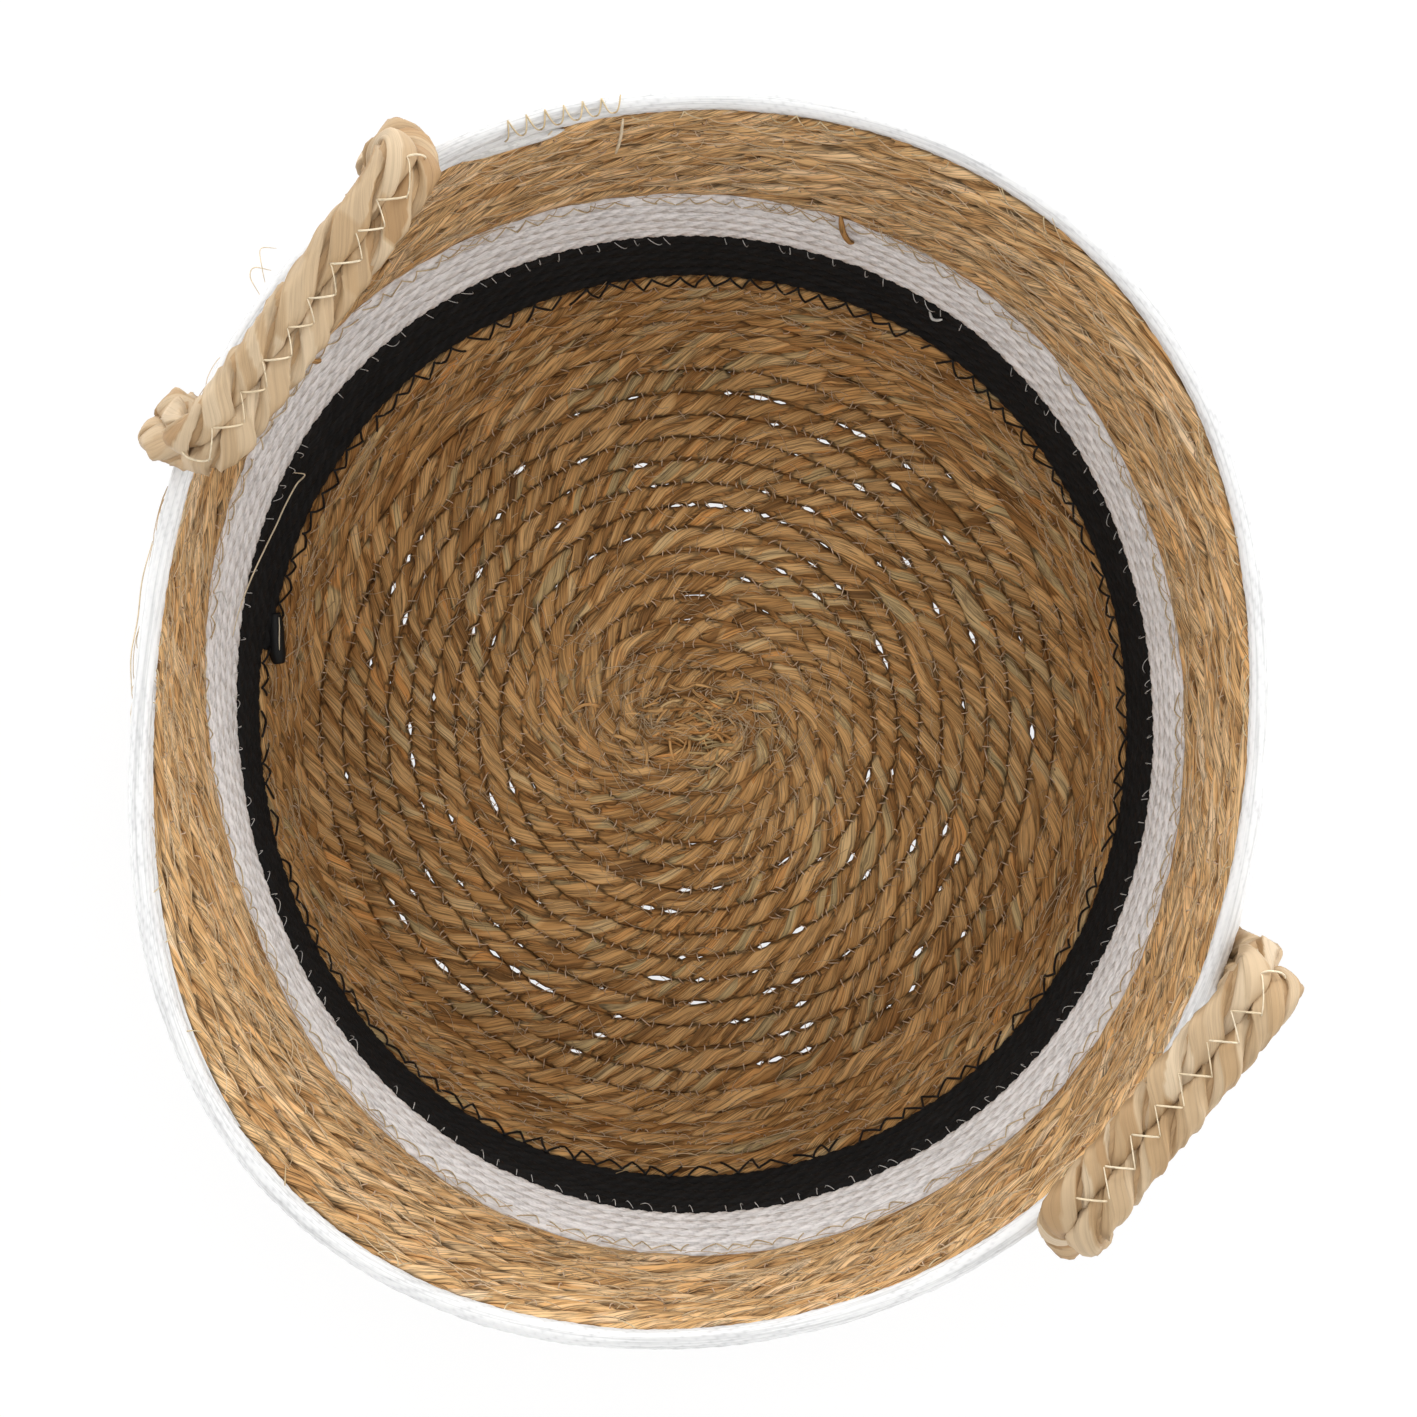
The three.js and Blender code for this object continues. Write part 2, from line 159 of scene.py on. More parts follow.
# Steps over which a rope thins out beside the one that follows it, the ropes that do, and how thin each gets
THIN_STEPS = 3
THINNEST = 0.02
THINNEST_HEIGHT = 0.3
RIM_END_THIN_STEPS = 0.7
RIM_END_THINNEST = 0.5
THIN_AT_START = ("white_rope", "upper_wall_rope", "rim_rope")
THIN_AT_END = {
    "black_rope": (THIN_STEPS, THINNEST),
    "white_rope": (THIN_STEPS, THINNEST),
    "upper_wall_rope": (THIN_STEPS, THINNEST),
    "rim_rope": (RIM_END_THIN_STEPS, RIM_END_THINNEST),
}
# Loose inner fibres of the straw rope, which fill the rows between the plies, and more so near the middle
FILL_HALF_WIDTH = 4.4 * MM
FILL_HALF_THICKNESS = 1.6 * MM
FILL_SIDES = 8
FILL_LEAF = 0.08
FILL_CORE_GROWTH = 2 * MM
FILL_CORE_LIMIT = 0.5
# Small gaps in the seams of the base: where they lie, their share of all places and of runs of two places
GAP_REACH = (33 * MM, 124 * MM)
GAP_SHARE = 0.07
GAP_RUN_SHARE = 0.5
# How far the rope gives way at a gap, the range of openings, and how much more the next row gives way
GAP_SQUEEZE = 0.26
GAP_OPENINGS = (0.4, 1)
GAP_NEXT_ROW = 1.4
# Tuft at the start of the rope, in the middle of the base: its reach along the hairpin and beside it
TUFT_ENDS = (6 * MM, 18 * MM)
TUFT_BESIDE = -1.2 * MM
TUFT_HEIGHT = 3 * MM
TUFT_RINGS = 12
TUFT = {"radius": 2.6 * MM, "sides": 16, "taper": 0.7}
# Radius round which the grain of a strand is drawn, and how far apart two strands may lie in it
GRAIN_RADIUS = 3 * MM
HANDLE_GRAIN_RADIUS = 4 * MM
GRAIN_APART = 3.0

# Sewing: faces of the wall, and each kind of thread with how far it bows out of the rope and dives in
INSIDE = 1
OUTSIDE = -1
COIL_SEWING_SEED = 21
BAND_SEWING_SEED = 22
FIBRE_SEED = 23
STITCH_JITTER = 0.3
# Fine stitches over the seams between rows: spacing and the share that is kept, and the form of each
FIRST_SEWN_STEP = 12
BASE_STITCHES = (3.2 * MM, 0.75)
LOWER_STITCHES = (5 * MM, 0.6)
UPPER_STITCHES = (7 * MM, 0.3)
UPPER_OUTSIDE_STITCHES = (7 * MM, 0.5)
SEAM_STITCH_OUT = 2.5 * MM
SEAM_STITCH_RISE = 1.3 * MM
SEAM_STITCH_RISES = (0.6, 1.4)
SEAM_STITCH_RUN = 0.9 * MM
SEAM_STITCH_BEND = 0.3 * MM
SEAM_THREAD = {"radius": 0.2 * MM, "bow": 0.5 * MM, "sink": 0.6 * MM}
# Loose fibres on each part of the coil: length, spread of their directions, and count on both faces
CORE_LAST_STEP = 70
CORE_HAIRS = {"longest": 16 * MM, "spread": 0.5, "radius": 0.14 * MM, "inside": 260}
BASE_HAIRS = {"longest": 11 * MM, "spread": 0.6, "radius": 0.12 * MM, "inside": 1100}
LOWER_HAIRS = {"longest": 14 * MM, "spread": 0.35, "radius": 0.13 * MM, "inside": 900, "outside": 500}
UPPER_HAIRS = {"longest": 18 * MM, "spread": 0.22, "radius": 0.14 * MM, "inside": 1300, "outside": 700}
HAIR_HALF_LENGTHS = (0.15, 0.5)
HAIR_BEND = 0.12
HAIR_ACROSS = 4 * MM
HAIR_OUT = 3.3 * MM
HAIR_FORM = {"bow": 0.4 * MM, "sink": 0.5 * MM, "sides": 3}
# Zigzag threads: spacing, share kept, reach below and above the seam, and distance off the wall's middle
BLACK_ZIGZAG = {
    "spacing": 8.3 * MM, "share": 0.88, "low": 4.4 * MM, "high": 3.2 * MM,
    "radius": 0.42 * MM, "inward": 3.5 * MM, "bow": 0.1 * MM,
}
TAN_ZIGZAG = {
    "spacing": 7.5 * MM, "share": 0.9, "low": 3.6 * MM, "high": 1.2 * MM,
    "radius": 0.22 * MM, "inward": 3.1 * MM, "bow": 0.1 * MM,
}
# Under the rim the thread is whole only at some bearings, each with a reach beside it, in degrees
RIM_ZIGZAG = {
    "spacing": 8.0 * MM, "share": 0.25, "low": 2.2 * MM, "high": 2.8 * MM,
    "radius": 0.2 * MM, "inward": 3.2 * MM, "bow": 0.3 * MM, "whole_at": ((116, 5), (171, 8)),
}
ZIGZAG_JITTER = 0.4
ZIGZAG_HEIGHTS = (0.5, 1.4)
ZIGZAG_BEND = 0.04
ZIGZAG_SINK = 0.25 * MM
ZIGZAG_RINGS = 8
# Thread ends that stand out below the white band: reach beside and bend have a mean and a spread
WISP_SPACING = 6.0 * MM
WISP_SHARE = 0.8
WISP_LONGEST = 4.0 * MM
WISP_LENGTHS = (0.3, 1)
WISP_BESIDE = (0.5, 0.5)
WISP_BEND = (0.1, 0.1)
WISP_INWARD = 2.9 * MM
WISP_START = 0.8 * MM
WISP_THREAD = {"radius": 0.11 * MM, "bow": 1.1 * MM, "sink": 0.2 * MM, "rings": 8, "sides": 4}
# Stitches over the rim's end: steps that they take up before and past it, and where they go in
RIM_END_STITCHED = 0.55
RIM_END_PASSED = 0.08
RIM_STITCH_SPACING = 5.8 * MM
RIM_STITCH_INWARD = 3.2 * MM
RIM_STITCH_DOWN = 3.0 * MM
RIM_STITCH_OUTWARD = 0.5 * MM
RIM_STITCH_UP = 3.1 * MM
RIM_STITCH_LEAN = 0.5
RIM_END_THREAD = {"radius": 0.26 * MM, "bow": 2.2 * MM, "sink": 0.1 * MM, "rings": 12}
# Torn bits of leaf over the start of the rope: reach along the hairpin and beside it, and form
SHREDS = 90
SHRED_REACH = (13 * MM, 9 * MM)
SHRED_HEIGHT = 6.5 * MM
SHRED_SPREAD = 0.55
SHRED_HALF_LENGTHS = (2.5 * MM, 7 * MM)
SHRED_BEND = 0.25
SHRED_RADII = (0.25 * MM, 0.75 * MM)
SHRED_FORM = {"bow": 0.5 * MM, "sink": 1.0 * MM, "rings": 8, "sides": 6}
# Loose ends run through places: bearing in degrees, height over a seam and lift off it in millimetres
RINGS_PER_PLACE = 8
CORD_TAG = {
    "places": ((203.0, 3.6, 2.5), (205.3, 2.6, 3.8), (207.6, 1.6, 4.8), (209.6, -7.0, 5.6)),
    "radius": 2.8 * MM, "sides": 14, "taper": 0.3,
}
RIM_TAG = {
    "places": ((151, 3.0, 1.6), (147, 1.4, 2.2), (143.5, 0.2, 2.4), (140.2, -0.2, 2.6)),
    "radius": 2.0 * MM, "sides": 12, "taper": 0.92,
}
LOOSE_FORM = {"sides": 6, "taper": 0.5}
# Kind of each loose thread or stem, the rope above its seam, radius and places
LOOSE_THREADS = (
    ("pale", "rim_rope", 0.5 * MM,
     ((134.6, 2.1, 3.5), (135.0, -8, 4.5), (135.4, -16, 4.8), (135.8, -24.7, 4.2))),
    ("pale", "white_rope", 0.28 * MM,
     ((185.8, -2.5, 3.5), (185.4, -8.5, 4.5), (187, -5.1, 5), (190.2, -4.8, 4.5),
      (192.4, -4.2, 4.5), (196, -1, 4.5), (199.6, 2.3, 4), (203.8, 7.9, 4), (207, 10, 3.5))),
    ("pale", "black_rope", 0.2 * MM,
     ((203.4, 5.6, 5.2), (205, 5.4, 6.0), (206.8, 5.0, 6.5), (207.8, 3.8, 6.5))),
    ("pale", "black_rope", 0.2 * MM,
     ((209.0, -12, 5.5), (208.3, -18, 5.0), (206.6, -25, 4.5), (205.4, -35, 4.0))),
    ("pale", "rim_rope", 0.2 * MM,
     ((215, 1, -3.5), (211, 4, -4.3), (207, 0.5, -4.5), (203, 3.5, -4.4), (199, 1, -3.5))),
    ("pale", "rim_rope", 0.18 * MM,
     ((173.0, -2, -4), (172.3, -1, -9), (171.4, -2, -10), (170.6, -3, -6))),
    ("pale", "rim_rope", 0.15 * MM,
     ((171.8, -2, -5), (171.0, 0, -8), (169.8, -1, -12), (168.8, -2, -9))),
    ("white", "upper_wall_rope", 0.22 * MM,
     ((203.2, 4, 3.2), (202.4, -3.1, 3.8), (203.2, -8, 3.8), (204, -12.3, 3.2))),
    ("white", "white_rope", 0.5 * MM,
     ((98.2, -4.5, 3), (97.5, -6.5, 3.7), (96.9, -5.6, 3.7), (96.4, -4.0, 3.1))),
    ("straw", "upper_wall_rope", 0.95 * MM,
     ((111.8, 4.5, 2.5), (111.4, 1.8, 4.2), (111, -1.4, 4.8), (110.2, -7.8, 4.2),
      (109.6, -10.2, 3.2))),
    ("straw", "upper_wall_rope", 0.8 * MM,
     ((174.4, 2.5, 3), (174.0, 0, 4), (173.6, -2.5, 3.2))),
)

# Handles: two thicker straw ropes side by side, which get wider and thinner towards their sewn ends
HANDLES = {
    "right_handle": {
        "lean": math.radians(11), "turn": math.radians(-5), "sense": 1, "rope_seed": 31, "thread_seed": 41,
    },
    "left_handle": {
        "lean": math.radians(30), "turn": math.radians(3), "sense": -1, "rope_seed": 32, "thread_seed": 42,
    },
}
HANDLE_ROPE_OFFSET = 4.5 * MM
HANDLE_ROPE_HALF_WIDTH = 5.6 * MM
HANDLE_ROPE_HALF_THICKNESS = 5.2 * MM
HANDLE_FILL_HALF_WIDTH = 4.6 * MM
HANDLE_FILL_HALF_THICKNESS = 2.2 * MM
HANDLE_FILL_LEAF = 0.1
# Share of the painted shade in the creases that the handles' plies get
HANDLE_PAINTED_SHADE_SHARE = 0.32
TAIL_WIDENING = 0.17
TAIL_THINNING = 0.45
LOOP_LENGTH = 174 * MM
LOOP_CORNER_RADIUS = 10 * MM
LEG_TWIST_START = 10 * MM
# Steps along a handle: fine ones, the ones over which it is smoothed to each side, and the rings of its ropes
HANDLE_FINE_STEP = 0.5 * MM
HANDLE_SMOOTHING = 8
HANDLE_RING_SPACING = 1.3 * MM
END_FACE_DEPTH = 0.05 * MM
# Zigzag along a handle
HANDLE_STITCH_HEIGHT = 4.9 * MM
HANDLE_STITCH_PAST_BAR = 9 * MM
HANDLE_STITCH_SPACING = 10.6 * MM
HANDLE_STITCH_JITTER = 0.6 * MM
HANDLE_STITCH_HALF_LENGTH = 4 * MM
HANDLE_STITCH_LENGTHS = (0.88, 1.12)
HANDLE_THREAD = {"radius": 0.3 * MM, "bow": 0.5 * MM, "sink": 1.4 * MM, "rings": 9, "sides": 6}
HANDLE_BACK_THREAD = {"radius": 0.2 * MM, "bow": 0.35 * MM, "sink": 1.0 * MM, "rings": 9, "sides": 6}

# Floor, studio light and camera, in metres, watts and millimetres of film
FLOOR_SIZE = 12
FLOOR_HEIGHT = -0.5 * MM
FLOOR_GREY = 0.9
FLOOR_ROUGHNESS = 0.9
FLOOR_GLOW = 0.85
WORLD_STRENGTH = 0.2
LIGHT_AIM = (0, 0, 0.08)
SIDE_LIGHTS = 8
SIDE_LIGHT_DISTANCE = 1.8
SIDE_LIGHT_HEIGHT = 0.6
SIDE_LIGHT_SIZE = 0.8
SIDE_LIGHT_WATTS = 9
KEY_BEARING = math.radians(110)
KEY_SHARE = 0.6
TOP_LIGHT_HEIGHT = 2.2
TOP_LIGHT_SIZE = 3.2
TOP_LIGHT_WATTS = 48
EYE_HEIGHT = 0.894
FILM_WIDTH = 36
LENS = 63.82
LENS_SHIFT = (0.01094, 0.01193)


# Coil

base_turns = (BASE_RADIUS - STRAW_PITCH / 2 - COIL_EYE_RADIUS) / STRAW_PITCH
rope_steps = {}
step_count = 0
for rope_name, rope_turns in {"base_coil": base_turns, **WALL_TURNS}.items():
    first_step = step_count
    step_count += round(rope_turns * STEPS_PER_TURN)
    rope_steps[rope_name] = (first_step, step_count)


def pitch_at(step):
    inside = min(max(step, 0), step_count - 1)
    return next(ROPE_PITCH[name] for name, (_, last) in rope_steps.items() if inside < last)


# Distance along the base and wall at each step: a row rises by the mean pitch of the ropes beside it
reach = [STRAW_PITCH / 2 + COIL_EYE_RADIUS]
for number in range(step_count + 2 * STEPS_PER_TURN):
    own = pitch_at(number)
    below = (own + pitch_at(number - STEPS_PER_TURN)) / 2
    above = (own + pitch_at(number + STEPS_PER_TURN)) / 2
    reach.append(reach[-1] + max(below, above) / STEPS_PER_TURN)
flat_reach = reach[rope_steps["base_coil"][1]]
foot_reach = flat_reach + FOOT_RADIUS * (math.pi / 2 - LEAN_AT_FOOT)
rim_reach = reach[step_count]


def reach_at(step):
    return np.interp(step, np.arange(len(reach)), reach)


def along_arc(r, z, angle, turn, length):
    """Moves on by the chord of an arc that starts at an angle and turns by another one."""
    chord = length * np.sinc(turn / TURN)
    return r + chord * np.cos(angle + turn / 2), z + chord * np.sin(angle + turn / 2), angle + turn


def profile(distance):
    """Middle line of the base and wall: radius, height and slope at distances along it."""
    foot = np.clip(distance, flat_reach, foot_reach) - flat_reach
    wall = np.maximum(distance - foot_reach, 0)
    wall_turn = (LEAN_AT_FOOT - LEAN_AT_RIM) * wall / (rim_reach - foot_reach)
    flat = np.minimum(distance, flat_reach)
    r, z, angle = along_arc(flat, STRAW_THICKNESS / 2, 0, foot / FOOT_RADIUS, foot)
    return along_arc(r, z, angle, wall_turn, wall)


def out_of_round(angle, distance):
    height = np.clip((distance - foot_reach) / (rim_reach - foot_reach), 0, 1)

    def waves(shapes):
        return sum(size * MM * np.cos(lobes * (angle - math.radians(at))) for size, at, lobes in shapes)

    waist = WAIST_PEAK * height**2 * (1 - height)
    return np.sin(math.pi / 2 * height) * waves(MOUTH_WAVES) + waist * waves(WAIST_WAVES)


def unit(vectors):
    return vectors / np.linalg.norm(vectors, axis=-1, keepdims=True)


def coil_points(step):
    """Middle of the rope at steps along the coil, with the hairpin in the middle of the base."""
    distance = reach_at(step)
    fade = np.clip(1 - distance / CORE_REACH, 0, 1)
    angle = COIL_START_ANGLE - step * TURN / STEPS_PER_TURN
    r, z, _ = profile(distance)
    r = r + out_of_round(angle, distance) - CORE_SHIFT * fade**2
    forward = np.cos(angle - CORE_ANGLE)
    stretch = CORE_STRETCH * fade * forward * (1.5 - 0.5 * forward**2)
    x = r * np.cos(angle) + stretch * math.cos(CORE_ANGLE)
    y = r * np.sin(angle) + stretch * math.sin(CORE_ANGLE)
    return np.stack([x, y, z], axis=-1)


def coil_frame(step):
    """Middle of the rope, the way up the wall and the way inwards, at steps along the coil."""
    distance = reach_at(step)
    angle = COIL_START_ANGLE - step * TURN / STEPS_PER_TURN
    _, _, slope = profile(distance)
    swell = (out_of_round(angle, distance + SLOPE_STEP) - out_of_round(angle, distance)) / SLOPE_STEP
    slope = np.arctan2(np.sin(slope), np.cos(slope) + swell)
    x = -np.sin(slope) * np.cos(angle)
    y = -np.sin(slope) * np.sin(angle)
    inward = np.stack([x, y, np.cos(slope)], axis=-1)
    tangent = unit(coil_points(step + TANGENT_STEP) - coil_points(step - TANGENT_STEP))
    across = unit(np.cross(inward, tangent))
    return coil_points(step), across, np.cross(tangent, across)


def walk(first, last, spacing):
    """Steps at an even spacing along the coil, and the distance walked at each."""
    fine = np.linspace(first, last, int((last - first) * WALK_POINTS_PER_STEP) + 2)
    lengths = np.linalg.norm(np.diff(coil_points(fine), axis=0), axis=1)
    walked = np.concatenate([[0], np.cumsum(lengths)])
    along = np.linspace(0, walked[-1], int(walked[-1] / spacing) + 2)
    return np.interp(along, walked, fine), along


# Random shapes

def wander(rng, along, size, length):
    """Smooth random values up to a size along a line, which come and go over a length."""
    x = along / length
    first = x.astype(int)
    part = x - first
    part = part**2 * (3 - 2 * part)
    knots = rng.uniform(-1, 1, first.max() + 2)
    return size * (knots[first] * (1 - part) + knots[first + 1] * part)


def leaf_values(rng, along, rope):
    """Leaves round a ply, which end at random places: a random number for each, and the way across it."""
    sides = rope["sides"]
    leaves_round = rope["leaves_round"]
    length = rope["leaf_length"]
    drift = wander(rng, along, *LEAF_DRIFT)[:, None]
    position = (np.arange(sides) / sides + drift) % 1 * leaves_round
    sector = np.minimum(position.astype(int), leaves_round - 1)
    values = np.empty((len(along), sides))
    for number in range(leaves_round):
        count = int(along[-1] / length * 2) + SPARE_LEAVES
        cuts = np.cumsum(length * rng.uniform(*LEAF_LENGTHS, count))
        leaves = rng.random(len(cuts) + 1)
        row_values = leaves[np.searchsorted(cuts, along)][:, None]
        values = np.where(sector == number, row_values, values)
    return values, position - sector


# Meshes

def bundle(points, along, leaf, seeds, grain_radius, painted_light_share=1.0):
    """Tubes with equal counts of rings and sides, kept above the floor, and what their material needs."""
    tubes, rings, sides = points.shape[:3]
    points = np.concatenate([points[..., :2], np.maximum(points[..., 2:], 0)], axis=-1)
    turn = np.arange(sides) * TURN / sides
    shape = (tubes, rings, sides)
    grain = np.stack([
        np.broadcast_to((along + GRAIN_APART * seeds[:, None])[:, :, None], shape),
        np.broadcast_to(grain_radius * np.cos(turn), shape),
        np.broadcast_to(grain_radius * np.sin(turn), shape),
    ], axis=-1)
    return points, np.broadcast_to(leaf, shape), grain, np.broadcast_to(painted_light_share, shape)


def tube_spans(bundles):
    """Mean girth, length and area of the tubes in each bundle."""
    spans = []
    for points, *_ in bundles:
        girth = np.linalg.norm(np.diff(points[:, :, :2], axis=2), axis=-1).mean() * points.shape[2]
        run = np.linalg.norm(np.diff(points.mean(axis=2), axis=1), axis=-1).sum()
        spans.append((girth, run, girth * run))
    return spans


def tube_faces(bundles):
    """Corners, first corners and strip coordinates of the faces of closed tubes."""
    corners = []
    starts = []
    coordinates = []
    vertex_count = 0
    corner_count = 0
    spans = tube_spans(bundles)
    whole = sum(area for _, _, area in spans)
    floor = 0.0
    for (points, *_), (girth, run, area) in zip(bundles, spans):
        tubes, rings, sides = points.shape[:3]
        height = area / whole
        strips = max(1, round(math.sqrt(run * height / girth)))
        ring = np.arange(tubes * rings).reshape(tubes, rings)[:, :-1, None]
        side = np.arange(sides)[None, None, :]
        following = (side + 1) % sides
        a = vertex_count + ring * sides + side
        b = vertex_count + ring * sides + following
        corners.append(np.stack([a, b, b + sides, a + sides], axis=-1).reshape(-1))
        quads = tubes * (rings - 1) * sides
        starts.append(corner_count + 4 * np.arange(quads))
        rings_per_strip = math.ceil(tubes * rings / strips)
        strip = ring // rings_per_strip
        u0 = (ring % rings_per_strip) / rings_per_strip
        u1 = u0 + 1 / rings_per_strip
        v0 = floor + height * (strip + side / sides) / strips
        v1 = floor + height * (strip + (side + 1) / sides) / strips
        u0, u1, v0, v1 = np.broadcast_arrays(u0, u1, v0, v1)
        coordinates.append(np.stack([u0, v0, u0, v1, u1, v1, u1, v0], axis=-1).reshape(-1))
        corner_count += 4 * quads
        ends = vertex_count + (np.arange(tubes) * rings * sides)[:, None]
        front = ends + np.arange(sides)[::-1]
        back = ends + (rings - 1) * sides + np.arange(sides)
        corners.append(np.concatenate([front, back]).reshape(-1))
        starts.append(corner_count + sides * np.arange(2 * tubes))
        corner_count += 2 * tubes * sides
        coordinates.append(np.tile([0.0, floor + height / 2], 2 * tubes * sides))
        vertex_count += tubes * rings * sides
        floor += height
    return (np.concatenate(parts) for parts in (corners, starts, coordinates))


def make_tubes(name, bundles, material):
    """One mesh of many closed tubes, with what their material needs at each point."""
    corners, starts, coordinates = tube_faces(bundles)
    points, leaf, grain, painted_light_share = (
        np.concatenate([part.reshape(-1) for part in parts]).astype(np.float32) for parts in zip(*bundles))
    mesh = bpy.data.meshes.new(name)
    mesh.vertices.add(len(leaf))
    mesh.vertices.foreach_set("co", points)
    mesh.loops.add(len(corners))
    mesh.loops.foreach_set("vertex_index", corners.astype(np.int32))
    mesh.polygons.add(len(starts))
    mesh.polygons.foreach_set("loop_start", starts.astype(np.int32))
    mesh.update(calc_edges=True)
    strips_layer = mesh.uv_layers.new(name="OFBake")
    strips_layer.uv.foreach_set("vector", coordinates.astype(np.float32))
    for layer, values in (("leaf", leaf), ("painted_light_share", painted_light_share)):
        mesh.attributes.new(layer, "FLOAT", "POINT").data.foreach_set("value", values)
    mesh.attributes.new("grain", "FLOAT_VECTOR", "POINT").data.foreach_set("vector", grain)
    mesh.validate()
    mesh.shade_smooth()
    mesh.materials.append(material)
    piece = bpy.data.objects.new(name, mesh)
    bpy.context.scene.collection.objects.link(piece)
    return piece


def round_tubes(rng, paths, normals, radius, sides, taper=0.0):
    """Thin round tubes along paths of equal counts of points: paths and normals are (tubes, rings, 3)."""
    tubes, rings = paths.shape[:2]
    tangent = unit(np.gradient(paths, axis=1))
    side = unit(np.cross(tangent, normals))
    up = np.cross(side, tangent)
    turn = np.arange(sides) * TURN / sides
    part = np.linspace(-1, 1, rings)
    thickness = np.broadcast_to(np.asarray(radius).reshape(-1, 1), (tubes, rings)) * (1 - taper * part**4)
    ring = np.cos(turn)[:, None] * up[:, :, None, :] + np.sin(turn)[:, None] * side[:, :, None, :]
    points = paths[:, :, None, :] + thickness[:, :, None, None] * ring
    lengths = np.linalg.norm(np.diff(paths, axis=1), axis=-1)
    along = np.concatenate([np.zeros((tubes, 1)), np.cumsum(lengths, axis=1)], axis=1)
    return bundle(points, along, rng.random(tubes)[:, None, None], rng.random(tubes), float(np.mean(radius)))


# Materials

SPECULAR = 0.3
NOISE_ROUGHNESS = 0.6
STREAK_DETAIL = 4.0
CREASE_DETAIL = 2.0
CREASE_LINE_WIDTH = 0.055
# Fine ridges: their height, and how much the creases count in it
RIDGE_HEIGHT = 0.5 * MM
CREASE_RELIEF = 0.6


def new_material(name, roughness):
    material = bpy.data.materials.new(name)
    material.use_nodes = True
    shader = material.node_tree.nodes["Principled BSDF"]
    shader.inputs["Roughness"].default_value = roughness
    shader.inputs["Specular IOR Level"].default_value = SPECULAR
    return material, material.node_tree, shader


def add_node(tree, kind, inputs, **settings):
    """A node with its settings, each input of which is a plain value or another node's output."""
    node = tree.nodes.new("ShaderNode" + kind)
    for key, value in settings.items():
        setattr(node, key, value)
    for key, value in inputs.items():
        if isinstance(value, bpy.types.NodeSocket):
            tree.links.new(value, node.inputs[key])
        else:
            node.inputs[key].default_value = value
    return node


def attribute(tree, name, output):
    return add_node(tree, "Attribute", {}, attribute_name=name).outputs[output]


def calculate(tree, operation, *values):
    return add_node(tree, "Math", dict(enumerate(values)), operation=operation).outputs["Value"]


def ramp(tree, factor, stops):
    node = add_node(tree, "ValToRGB", {"Fac": factor})
    elements = node.color_ramp.elements
    while len(elements) < len(stops):
        elements.new(0.5)
    for element, (position, color) in zip(elements, stops):
        element.position = position
        element.color = (*color, 1)
    return node.outputs["Color"]


def stretched_noise(tree, scale_along, scale_across, detail):
    """Noise drawn out along the fibres."""
    grain = attribute(tree, "grain", "Vector")
    scales = (scale_along, scale_across, scale_across)
    stretch = add_node(tree, "VectorMath", {0: grain, 1: scales}, operation="MULTIPLY")
    noise = add_node(tree, "TexNoise", {
        "Vector": stretch.outputs["Vector"], "Scale": 1.0, "Detail": detail, "Roughness": NOISE_ROUGHNESS,
    })
    return noise.outputs["Fac"]


def multiply(tree, color, other):
    mix = add_node(tree, "Mix", {"Factor": 1.0, 6: color, 7: other}, data_type="RGBA", blend_type="MULTIPLY")
    return mix.outputs[2]


def grey(value):
    return (value, value, value)


def crease_lines(tree, scale_along, scale_across):
    """Nought along thin lines that follow the fibres, and one between them."""
    noise = stretched_noise(tree, scale_along, scale_across, CREASE_DETAIL)
    distance = calculate(tree, "ABSOLUTE", calculate(tree, "SUBTRACT", noise, 0.5))
    line = add_node(tree, "MapRange", {"Value": distance, "From Max": CREASE_LINE_WIDTH})
    return line.outputs["Result"]


# Painted shade on a ply: darkest at the bottom of the crease or seam beside it, none on its open top
PAINTED_CREASE_SHADE = ((0, grey(0.40)), (0.5, grey(0.82)), (1, grey(1)))


def fibre_material(name, leaf_stops, streak_stops, roughness, scale_along, scale_across, bump, crease=0.8):
    """Dry fibres: a colour for each leaf, streaks and dark crease lines along it, painted shade in the
    creases and seams between plies, and fine ridges.
    """
    material, tree, shader = new_material(name, roughness)
    streaks = stretched_noise(tree, scale_along, scale_across, STREAK_DETAIL)
    creases = crease_lines(tree, scale_along / 2, scale_across / 2)
    color = ramp(tree, attribute(tree, "leaf", "Fac"), leaf_stops)
    for factor, stops in (
        (streaks, streak_stops),
        (creases, ((0, grey(crease)), (1, grey(1)))),
        # painted shade in the creases and seams, from each point's painted light share
        (attribute(tree, "painted_light_share", "Fac"), PAINTED_CREASE_SHADE),
    ):
        color = multiply(tree, color, ramp(tree, factor, stops))
    tree.links.new(color, shader.inputs["Base Color"])
    height = calculate(tree, "MULTIPLY_ADD", creases, CREASE_RELIEF, streaks)
    ridges = add_node(tree, "Bump", {"Strength": bump, "Distance": RIDGE_HEIGHT, "Height": height})
    tree.links.new(ridges.outputs["Normal"], shader.inputs["Normal"])
    return material


STRAW_LEAVES = (
    (0.00, (0.190, 0.092, 0.028)),
    (0.06, (0.340, 0.160, 0.046)),
    (0.18, (0.480, 0.255, 0.086)),
    (0.50, (0.580, 0.330, 0.126)),
    (0.78, (0.640, 0.385, 0.160)),
    (0.85, (0.620, 0.290, 0.084)),
    (0.92, (0.470, 0.345, 0.165)),
    (1.00, (0.690, 0.460, 0.220)),
)
STRAW_STREAKS = ((0.33, grey(0.28)), (0.41, grey(0.78)), (0.50, grey(1.0)), (0.75, grey(1.22)))
